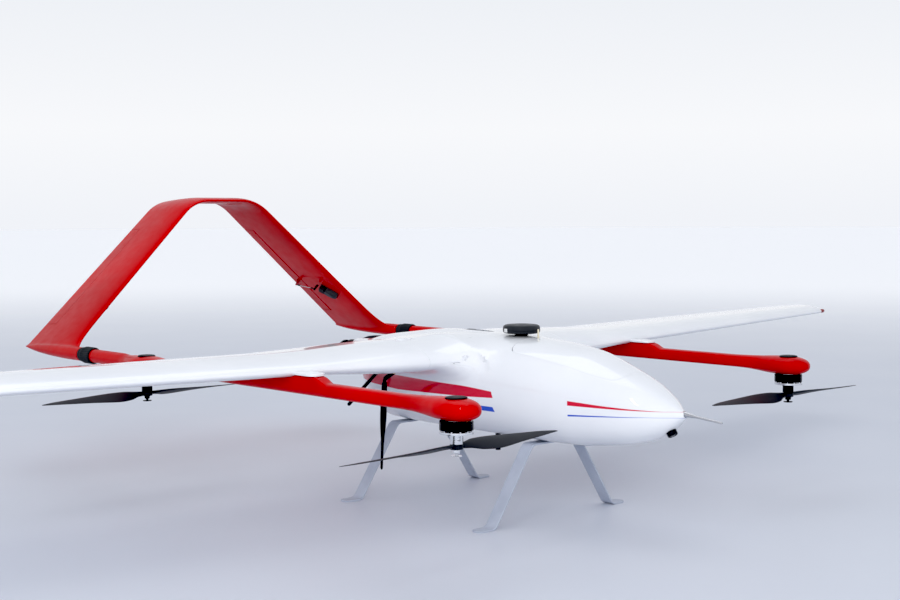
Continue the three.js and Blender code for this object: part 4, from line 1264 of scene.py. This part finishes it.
# ---- pusher motor at the hull's tail ----
def build_pusher():
    face = place(0, PUSHER_FACE, PUSHER_Z)
    aft = face + [0, 1, 0]
    core = [[3.6, 0.3], [15, 0.3], [15, 4.6], [13, 5.4], [8, 6], [8, 22], [3.6, 22]]
    finish(turned("pusher_motor", core, face, aft, 64, 0.4, looped=True), "airframe", STEEL)
    can = [
        [0, 3], [3, 3], [3, 23], [15.2, 23], [15.2, 9], [17.4, 9], [18, 9.8], [18, 13], [17.6, 13.4],
        [17.6, 14], [18, 14.4], [18, 25.5], [16, 29], [6, 29.4], [4, 30.4], [4, 46], [0, 46],
    ]
    finish(turned("pusher_bell", can, face, aft, 96, 0.4), "pusher_rotor", ANODISED)
    cone = [
        [4.4, 41.6], [15.4, 41.6], [16, 42.6], [15.2, 48], [11.6, 55.5], [6, 61.8], [0, 64],
        [0, 47], [4.4, 47], [4.4, 41.6],
    ]
    finish(turned("pusher_spinner", cone, face, aft, 96, 0.6), "pusher_rotor", BLACK)
    hub = {"radius": 10, "half": 5, "bore": 4.5}
    blades = propeller("pusher_propeller", PUSHER_PROPELLER_RADIUS, 0.72, 1, -1, hub, math.radians(-2))
    blades.data.transform(Matrix.Rotation(-math.pi / 2, 4, "X"))
    shift(blades, place(0, PUSHER_FACE + PUSHER_PLANE, PUSHER_Z))
    finish(blades, "pusher_rotor", CARBON)


# ---- tail ----
TAIL_COS, TAIL_SIN = math.cos(TAIL_ANGLE), math.sin(TAIL_ANGLE)
TAIL_RADIUS = ((BOOM_X - TAIL_FLAT) * TAIL_SIN / TAIL_COS - (TAIL_TOP - TUBE_Z)) / (
    TAIL_SIN * TAIL_SIN / TAIL_COS - (1 - TAIL_COS)
)
TAIL_STRAIGHT = (TAIL_TOP - TAIL_RADIUS * (1 - TAIL_COS) - TUBE_Z) / TAIL_SIN


def tail_edges(z):
    rise = (z - TUBE_Z) / (TAIL_TOP - TUBE_Z)
    fillet = 42 * np.exp(-np.maximum(0, z - TUBE_Z) / 14)
    return TAIL_LE + TAIL_LE_SWEEP * rise - fillet, TAIL_TE + (TAIL_END - TAIL_TE) * rise


def tail_point(side, q, station, n):
    """A point at a distance q up one straight panel; n is outward from its mid plane."""
    x = BOOM_X - q * TAIL_COS + n * TAIL_SIN
    return place(side * x, station, TUBE_Z + q * TAIL_SIN + n * TAIL_COS)


def tail_ring(x, z, lean, steps=36):
    front, back = tail_edges(z)
    u, side = foil_outline(steps)
    n = side * foil_half(u, TAIL_THICKNESS) * (back - max(front, TAIL_LE - 12))
    aft = front + u * (back - front) - ORIGIN_STATION
    return np.column_stack([x + n * math.sin(lean), aft, z + n * math.cos(lean)])


def tail_arch(name):
    half = []
    for q in np.concatenate([np.linspace(0, 40, 16), np.linspace(48, TAIL_STRAIGHT, 50)]):
        half.append((BOOM_X - q * TAIL_COS, TUBE_Z + q * TAIL_SIN, TAIL_ANGLE))
    for lean in TAIL_ANGLE * np.linspace(0.96, 0, 24):
        x = TAIL_FLAT + TAIL_RADIUS * math.sin(lean)
        half.append((x, TAIL_TOP - TAIL_RADIUS * (1 - math.cos(lean)), lean))
    half += [(x, TAIL_TOP, 0.0) for x in (30.0, 15.0)]
    other = [(-x, z, -lean) for x, z, lean in reversed(half)]
    return loft(name, [tail_ring(*row) for row in half + [(0.0, TAIL_TOP, 0.0)] + other])


# Fraction of the socket's length, radius.
SOCKET = [
    [0, 14.2], [0.2, 14.4], [0.4, 13.4], [0.55, 12], [0.7, 9.7], [0.8, 7.5], [0.9, 4.4],
    [0.97, 1.9], [1, 0.3],
]
socket_at = through(SOCKET)
SOCKET_LENGTH = TAIL_TE + 6 - SLEEVE_END


def tail_socket(side):
    spigot = SLEEVE_END + 1 - BOOM_END
    profile = [[0, 0], [9.8, 0], [10.4, 0.8], [10.4, spigot], [13.6, spigot + 0.2], [14.2, spigot + 0.9]]
    for part in np.linspace(0.02, 1, 60):
        profile.append([socket_at(part)[0, 0], spigot + part * SOCKET_LENGTH])
    profile.append([0, spigot + SOCKET_LENGTH + 0.3])
    start = place(side * BOOM_X, BOOM_END + 1, TUBE_Z)
    return turned("socket", profile, start, start + [0, 1, 0], 56, fillet=0)


def socket_distance(points):
    part = (points[:, 1] + ORIGIN_STATION - SLEEVE_END - 2) / SOCKET_LENGTH
    radius = socket_at(np.clip(part, 0, 1))[:, 0]
    radial = np.hypot(np.abs(points[:, 0]) - BOOM_X, points[:, 2] - TUBE_Z) - radius
    outside = np.maximum(np.maximum(-part, part - 1) * SOCKET_LENGTH, 0)
    return np.where(outside > 0, np.hypot(np.maximum(radial, 0), outside), radial)


def tail_distance(points):
    """Distance from the straight panels of the tail."""
    x, z = np.abs(points[:, 0]), points[:, 2]
    q = (BOOM_X - x) * TAIL_COS + (z - TUBE_Z) * TAIL_SIN
    n = (x - BOOM_X) * TAIL_SIN + (z - TUBE_Z) * TAIL_COS
    front, back = tail_edges(TUBE_Z + q * TAIL_SIN)
    chord = back - front
    scale = (back - np.maximum(front, TAIL_LE - 12)) / chord
    u = (points[:, 1] + ORIGIN_STATION - front) / chord
    distance = section_distance(u, n / chord, chord, TAIL_THICKNESS * scale, 0.0)
    return np.where(q < 0, np.maximum(distance, -q), distance)


def rudder_skin(q):
    front, back = tail_edges(TUBE_Z + q * TAIL_SIN)
    return float(foil_half(RUDDER["hinge"], TAIL_THICKNESS) * (back - front))


def rudder_block(side, clearance, lean):
    rings = []
    for q in (RUDDER["inner"] + clearance, RUDDER["outer"] - clearance):
        front, back = tail_edges(TUBE_Z + q * TAIL_SIN)
        hinge = front + RUDDER["hinge"] * (back - front) + clearance
        skin = rudder_skin(q)
        outline = [[0, 20], [0, skin], [30 * lean, skin - 30], [90, skin - 30], [90, 20]]
        rings.append(np.array([tail_point(side, q, hinge + aft, n) for aft, n in outline]))
    return loft("block", rings)


def build_tail():
    arch = tail_arch("tail")
    rudders = {name: copy_of(arch, f"ruddervator_{name}") for name in SIDES}
    boolean(arch, "UNION", tail_socket(1), tail_socket(-1))
    blend_join(arch, tail_distance, socket_distance, 9.0)
    boolean(arch, "DIFFERENCE", rudder_block(1, 0, 0), rudder_block(-1, 0, 0))
    finish(arch, "airframe", RED, sharp=40)
    for name, side in SIDES.items():
        rudder = boolean(rudders[name], "INTERSECT", rudder_block(side, 1.0, HINGE_BEVEL))
        finish(rudder, f"ruddervator_{name}", RED)
        build_linkage(name, side)


def plate(name, side, outline, near, far, fillet=1.2):
    """A flat plate on edge along a tail panel, from outline points of station and n."""
    line = filleted(outline, fillet, 4, looped=True)
    middle = line.mean(axis=0)
    rings = []
    for q, shrink in ((near, 0.3), (near + 0.3, 0), (far - 0.3, 0), (far, 0.3)):
        inset = middle + (line - middle) * (1 - shrink / 8)
        rings.append(np.array([tail_point(side, q, station, n) for station, n in inset]))
    return loft(name, rings)


def build_linkage(name, side):
    """Servo under its tapered cover, its arm, the pushrod with two clevises, and the horn."""
    def layer(corners, n, scale, aft):
        ring = []
        for along, across in filleted(corners, 3.0, 4, looped=True):
            u, v = (along * scale + aft) * math.sqrt(0.5), across * scale * math.sqrt(0.5)
            ring.append(tail_point(side, 157 + u + v, 1368 + u - v, n))
        return np.array(ring)

    corners = [[-26, -8], [-16, -11], [8, -11], [8, 11], [-16, 11], [-26, 8]]
    levels = ((-8.2, 1, 0), (-13, 1, 0), (-17, 0.95, 0), (-20, 0.86, 1.0), (-21.6, 0.7, 2.5))
    cover = loft(f"servo_cover_{name}", [layer(corners, *level) for level in levels])
    finish(cover, "airframe", DARK_GREY)
    block_corners = box(9, -10.5, 24, 10.5)
    levels = ((-8.2, 1, 0), (-20.6, 1, 0), (-21.6, 0.96, 0.7))
    block = loft(f"tail_servo_{name}", [layer(block_corners, *level) for level in levels])
    finish(block, "airframe", BLACK)

    arm_outline = [[1384, -13], [1390, -13], [1391.5, -17], [1389.5, -31], [1384.5, -31], [1382.5, -17]]
    arm = plate(f"servo_arm_{name}", side, arm_outline, LINK_Q - 3.8, LINK_Q - 1.3)
    finish(arm, f"servo_arm_{name}", BLACK)

    ends = [tail_point(side, LINK_Q, 1387, -28), tail_point(side, LINK_Q, 1466, -19)]
    length = np.linalg.norm(ends[1] - ends[0])
    direction = (ends[1] - ends[0]) / length
    rod_line = [ends[0] + direction * t for t in np.linspace(0, length, 12)]
    rod = swept(f"pushrod_{name}", rod_line, 0.9)
    finish(rod, f"pushrod_{name}", STEEL)
    fork = [[0, -1.5], [1.3, -1.5], [1.3, 5], [1.9, 6], [1.9, 13], [1.3, 14.5], [0, 14.5]]
    for label, at, way in (("fore", ends[0], direction), ("aft", ends[1], -direction)):
        clevis = turned(f"clevis_{label}_{name}", fork, at, at + way, 24, 0.4)
        finish(clevis, f"pushrod_{name}", BLACK)

    horn_outline = [[1463, -1], [1479, -1], [1472, -10], [1468.5, -22], [1461.5, -22], [1461.5, -10]]
    horn = plate(f"rudder_horn_{name}", side, horn_outline, LINK_Q + 1.4, LINK_Q + 3.2, 2.0)
    finish(horn, f"ruddervator_{name}", DARK_RED)


# ---- landing gear ----
def build_strap(name, station):
    """A pressed strap: flat feet, straight legs and a flat crown against the keel."""
    keel = hull_at(station)[0, 1]
    top = keel - GAP
    half_width, thick = 13.5, 3.0
    path = [[-197, 1.5], [-157.8, 1.5], [-62.8, top - 1.5], [62.8, top - 1.5], [157.8, 1.5], [197, 1.5]]
    corners = filleted(path, 9, 8)
    line = [corners[0]]
    for a, b in zip(corners, corners[1:]):
        pieces = max(1, int(np.linalg.norm(b - a) / 4))
        line += [a + (b - a) * k / pieces for k in range(1, pieces + 1)]
    line = np.array(line)
    length = np.concatenate([[0], np.cumsum(np.linalg.norm(np.diff(line, axis=0), axis=1))])
    extra = [half_width * (1 - math.cos(t)) for t in np.linspace(0.12, math.pi / 2, 10)]
    straight = length[(length > half_width) & (length < length[-1] - half_width)]
    samples = np.unique(np.concatenate([extra, straight, length[-1] - np.array(extra)]))

    def point_at(s):
        return np.array([np.interp(s, length, line[:, k]) for k in (0, 1)])

    rings = []
    for s in samples:
        at = point_at(s)
        along = point_at(min(s + 1, length[-1])) - point_at(max(s - 1, 0))
        tangent = along / np.linalg.norm(along)
        normal = np.array([-tangent[1], tangent[0]])
        from_end = min(s, length[-1] - s)
        width = half_width
        if from_end < half_width:
            width = math.sqrt(max(half_width ** 2 - (half_width - from_end) ** 2, 1.0))
        ring = []
        for across, up in filleted(box(-width, -thick / 2, width, thick / 2), 0.8, 3, looped=True):
            x, z = at + normal * up
            ring.append(place(x, station + across, max(0.0, z)))
        rings.append(np.array(ring))
    strap = loft(f"gear_strap_{name}", rings)
    finish(strap, "airframe", COMPOSITE, sharp=50)
    build_strap_screws(name, station, top - thick)


def build_strap_screws(name, station, under):
    for index, x in enumerate((-42, -14, 14, 42)):
        head = [[0, 0.2], [3.4, 0.2], [3.6, -0.6], [2.9, -1.7], [1.6, -2.1], [1.6, -0.9], [0, -0.9]]
        at = place(x, station, under)
        screw = turned(f"strap_screw_{name}_{index}", head, at, at + [0, 0, 1], 32, 0.2)
        finish(screw, "airframe", STEEL)


# ---- fittings ----
def build_pitot():
    root, tip = place(0, 5, 219), place(0, -72, 211.8)
    length = np.linalg.norm(tip - root)
    profile = [
        [0, 0], [5, 0], [4.9, 2], [3.6, 14], [2.4, 24], [2.1, 30], [1.9, length - 3],
        [1.5, length - 1], [0.9, length], [0.5, length - 2], [0, length - 2.4],
    ]
    finish(turned("pitot_tube", profile, root, tip, 40, 0.8), "airframe", STEEL)


def build_nose_camera():
    root, toward = place(0, 36, 192), place(0, 24, 173)
    barrel = [[0, 0], [9, 0], [9, 12.4], [8.2, 14], [7.2, 14.6], [6.4, 14.6], [5.6, 12.8], [0, 12.8]]
    finish(turned("nose_camera", barrel, root, toward, 56, 0.4), "airframe", BLACK)
    glass = [[0, 11.6], [5.4, 11.6], [5.4, 12.9], [4.4, 13.9], [2.6, 14.6], [0, 14.9]]
    finish(turned("nose_camera_glass", glass, root, toward, 48, 0.6), "airframe", LENS_GLASS)


def build_puck():
    centre = place(0, PUCK_STATION, 0)
    up = centre + [0, 0, 1]
    foot = hull_top(0, PUCK_STATION) + 0.5
    profile = [
        [0, 333], [30, 333], [33.4, 334.2], [34.6, 336.6], [34.6, 343.4], [33.6, 346.6],
        [30, 348.6], [20, 349.6], [0, 350],
    ]
    finish(turned("gnss_puck", profile, centre, up, 96, 1.2), "airframe", DARK_GREY)
    stand = [[0, foot], [13.5, foot], [12, foot + 1], [12, 336], [0, 336]]
    finish(turned("puck_foot", stand, centre, up, 64, 0.4), "airframe", BLACK)
    seam = [[34.3, 338.4], [34.9, 338.6], [34.9, 339.4], [34.3, 339.6]]
    finish(turned("puck_seam", seam, centre, up, 96, 0.1, looped=True), "airframe", BLACK)
    angle = math.radians(167)
    out = np.array([math.cos(angle), math.sin(angle), 0])
    axes = np.array([out, [-out[1], out[0], 0], [0, 0, 1]])
    plug = bevelled_block("puck_connector", (5, 9, 7), centre + out * 33.5 + [0, 0, 339], axes, 1.0)
    finish(plug, "airframe", PALE_LABEL)


def build_rangefinder():
    keel = hull_at(RANGEFINDER_STATION)[0, 1]
    top = place(0, RANGEFINDER_STATION, keel - GAP)
    profile = [
        [0, 0], [6.4, 0], [6.4, 2.2], [5, 3], [5, 34.6], [4.6, 35.5], [3.6, 35.7], [3.2, 34.2],
        [0, 34.2],
    ]
    finish(turned("belly_rangefinder", profile, top, top - [0, 0, 1], 40, 0.4), "airframe", BLACK)


WHIP = {"base": place(-154, 566, 259.4), "elbow": place(-154, 597.5, 241.6), "tip": place(-154, 608, 66)}
ROD = {"base": place(-125, 647, 262.6), "elbow": place(-125, 649, 252), "tip": place(-125, 744, 175)}


def build_aerial(name, points, profile, connector):
    base, elbow, tip = points["base"], points["elbow"], points["tip"]
    reach = np.linalg.norm(elbow - base) - 1
    collar = min(7.0, reach / 2)
    socket = [[0, 0], [4, 0], [4, collar - 1.5], [3.2, collar - 1], [3.2, collar], [0, collar]]
    piece = turned(f"aerial_base_{name}", socket, base, elbow, 48, 0.3)
    finish(piece, "airframe", connector)
    sleeve = [
        [0, collar - 0.8], [4.3, collar - 0.8], [4.6, collar], [4.6, reach - 1.5], [3.8, reach],
        [0, reach],
    ]
    finish(turned(f"aerial_sleeve_{name}", sleeve, base, elbow, 48, 0.4), "airframe", BLACK)
    direction = (tip - elbow) / np.linalg.norm(tip - elbow)
    start = elbow + 6 * direction
    length = np.linalg.norm(tip - start)
    whip = turned(f"aerial_{name}", profile(length), start, tip, 48, 1.0)
    finish(whip, f"aerial_{name}", BLACK)
    knuckle = [[0, -6.2], [2.2, -6.2], [3.2, -5.2], [3.2, 0.5], [0, 0.5]]
    finish(turned(f"aerial_knuckle_{name}", knuckle, start, tip, 32, 0.8), f"aerial_{name}", BLACK)


def paddle(length):
    return [
        [0, 0], [4.6, 0], [5.0, 1.5], [5.3, 10], [6.1, 0.24 * length], [6.4, 0.36 * length],
        [6.1, 0.44 * length], [5.4, 0.52 * length], [3.6, 0.64 * length], [2.9, 0.72 * length],
        [2.5, length - 4], [1.6, length - 0.5], [0, length],
    ]


def plain_rod(length):
    return [[0, 0], [3.2, 0], [3.7, 1.5], [3.7, length - 3], [2.9, length - 0.6], [0, length]]


def build_inside():
    """What the hatch covers: the battery, its strap and plug, and the flight controller."""
    centre = place(0, 225, 190)
    finish(bevelled_block("battery", (64, 150, 50), centre, bevel=5, segments=5), "airframe", WRAP)
    for index, offset in enumerate((-42, 42)):
        line = filleted(box(-33, -26, 33, 26), 6, 6, looped=True)
        rings = []
        for across, grow in ((-11, 0), (-10.5, 0.8), (10.5, 0.8), (11, 0)):
            scaled = line * (1 + grow / 33)
            rings.append(np.array([centre + [x, offset + across, z] for x, z in scaled]))
        finish(loft(f"battery_strap_{index}", rings), "airframe", RUBBER)
    plug = bevelled_block("battery_plug", (18, 16, 10), centre + [16, 62, 29], bevel=1.5)
    finish(plug, "airframe", GOLD)
    tube = box(8.6, 0, SPAR["radius"], 2 * SPAR["half"])
    ends = [place(x, SPAR["station"], SPAR["z"]) for x in (-SPAR["half"], SPAR["half"])]
    finish(turned("wing_spar", tube, *ends, 48, 0.2, looped=True), "airframe", CARBON)
    computer = bevelled_block("flight_controller", (60, 96, 28), place(0, 400, 176), bevel=3, segments=4)
    finish(computer, "airframe", BLACK)


# ---- studio ----
FLOOR_SEGMENTS = 96
FLOOR_RADII = (400.0, 3000.0, 12000.0, 60000.0)
# Height of the looking direction, colour of the sky there.
SKY = (
    (0.0, (0.91, 0.93, 0.975)), (0.06, (0.965, 0.975, 1.0)), (0.16, (0.88, 0.905, 0.95)),
    (1.0, (0.55, 0.58, 0.64)),
)
SKY_STRENGTH = 0.97


def build_studio():
    """A round floor, the sky that lights it, three lamps."""
    count = FLOOR_SEGMENTS
    angle = np.linspace(0, 2 * math.pi, count, endpoint=False)
    circle = np.column_stack([np.cos(angle), np.sin(angle), np.zeros(count)])
    points = [np.zeros(3)]
    for radius in FLOOR_RADII:
        points.extend(radius * circle)
    faces = [[0, 1 + k, 1 + (k + 1) % count] for k in range(count)]
    for i in range(len(FLOOR_RADII) - 1):
        a, b = 1 + count * i, 1 + count * (i + 1)
        faces += [[a + k, b + k, b + (k + 1) % count, a + (k + 1) % count] for k in range(count)]
    floor = mesh_object("floor", points, faces)
    floor.data.materials.append(FLOOR)

    world = bpy.data.worlds.new("studio")
    bpy.context.scene.world = world
    world.use_nodes = True
    tree = world.node_tree
    background = tree.nodes["Background"]
    direction = tree.nodes.new("ShaderNodeTexCoord").outputs["Generated"]
    split = tree.nodes.new("ShaderNodeSeparateXYZ")
    tree.links.new(direction, split.inputs[0])
    ramp = tree.nodes.new("ShaderNodeValToRGB")
    tree.links.new(split.outputs["Z"], ramp.inputs["Fac"])
    while len(ramp.color_ramp.elements) < len(SKY):
        ramp.color_ramp.elements.new(0.5)
    for element, (at, color) in zip(ramp.color_ramp.elements, SKY):
        element.position = at
        element.color = (*color, 1)
    tree.links.new(ramp.outputs["Color"], background.inputs["Color"])
    background.inputs["Strength"].default_value = SKY_STRENGTH

    add_light("key", (-3.4, -3.6, 1.9), (0, -0.3, 0.25), 2.2, 90, glossy=False)
    add_light("overhead", (0.6, 0.8, 4.2), (0, 0, 0.2), 2.6, 22)
    add_light("strip", (-2.6, -1.6, 2.6), (-0.4, -0.3, 0.25), 0.10, 9, 1.2)


def add_light(name, location, target, size, power, length=None, glossy=True):
    data = bpy.data.lights.new(name, "AREA")
    data.energy = power
    data.size = size
    if length:
        data.shape = "RECTANGLE"
        data.size_y = length
    light = linked(name, data)
    light.location = location
    light.visible_glossy = glossy
    light.rotation_mode = "QUATERNION"
    light.rotation_quaternion = (Vector(target) - Vector(location)).to_track_quat("-Z", "Y")


# Metres; yaw, pitch and roll in radians.
CAMERA = {
    "location": (-1.8715, -2.1502, 0.5518), "turn": (0.750386, -0.0601833, -0.0032907),
    "lens": 56.0, "sensor": 36.0,
}


def build_camera():
    yaw, pitch, roll = CAMERA["turn"]
    forward = Vector((math.cos(pitch) * math.sin(yaw), math.cos(pitch) * math.cos(yaw), math.sin(pitch)))
    level = forward.cross(Vector((0, 0, 1))).normalized()
    upright = level.cross(forward)
    right = math.cos(roll) * level + math.sin(roll) * upright
    up = -math.sin(roll) * level + math.cos(roll) * upright
    data = bpy.data.cameras.new("camera")
    data.lens = CAMERA["lens"]
    data.sensor_width = CAMERA["sensor"]
    camera = linked("camera", data)
    turn = Matrix((right, up, -forward)).transposed().to_4x4()
    camera.matrix_world = Matrix.Translation(CAMERA["location"]) @ turn
    bpy.context.scene.camera = camera
    # Takes a little light off the darkest tones, so that black plastic and carbon stay black.
    display = bpy.context.scene.view_settings
    display.view_transform = "Standard"
    display.use_curve_mapping = True
    display.curve_mapping.black_level = (0.03, 0.03, 0.03)
    display.curve_mapping.update()


# ---- assembly ----
build_camera()
build_studio()
build_hull()
build_hatch()
build_hatch_seal()
for name, side in SIDES.items():
    build_boom(name, side, build_wing(name, side))
for name, (side, station, parked, spin) in LIFT_MOTORS.items():
    build_lift_motor(name, side, station, parked, spin)
build_pusher()
build_tail()
for name, station in GEAR_STATIONS.items():
    build_strap(name, station)
build_pitot()
build_nose_camera()
build_puck()
build_rangefinder()
build_aerial("whip", WHIP, paddle, GOLD)
build_aerial("rod", ROD, plain_rod, BLACK)
build_inside()
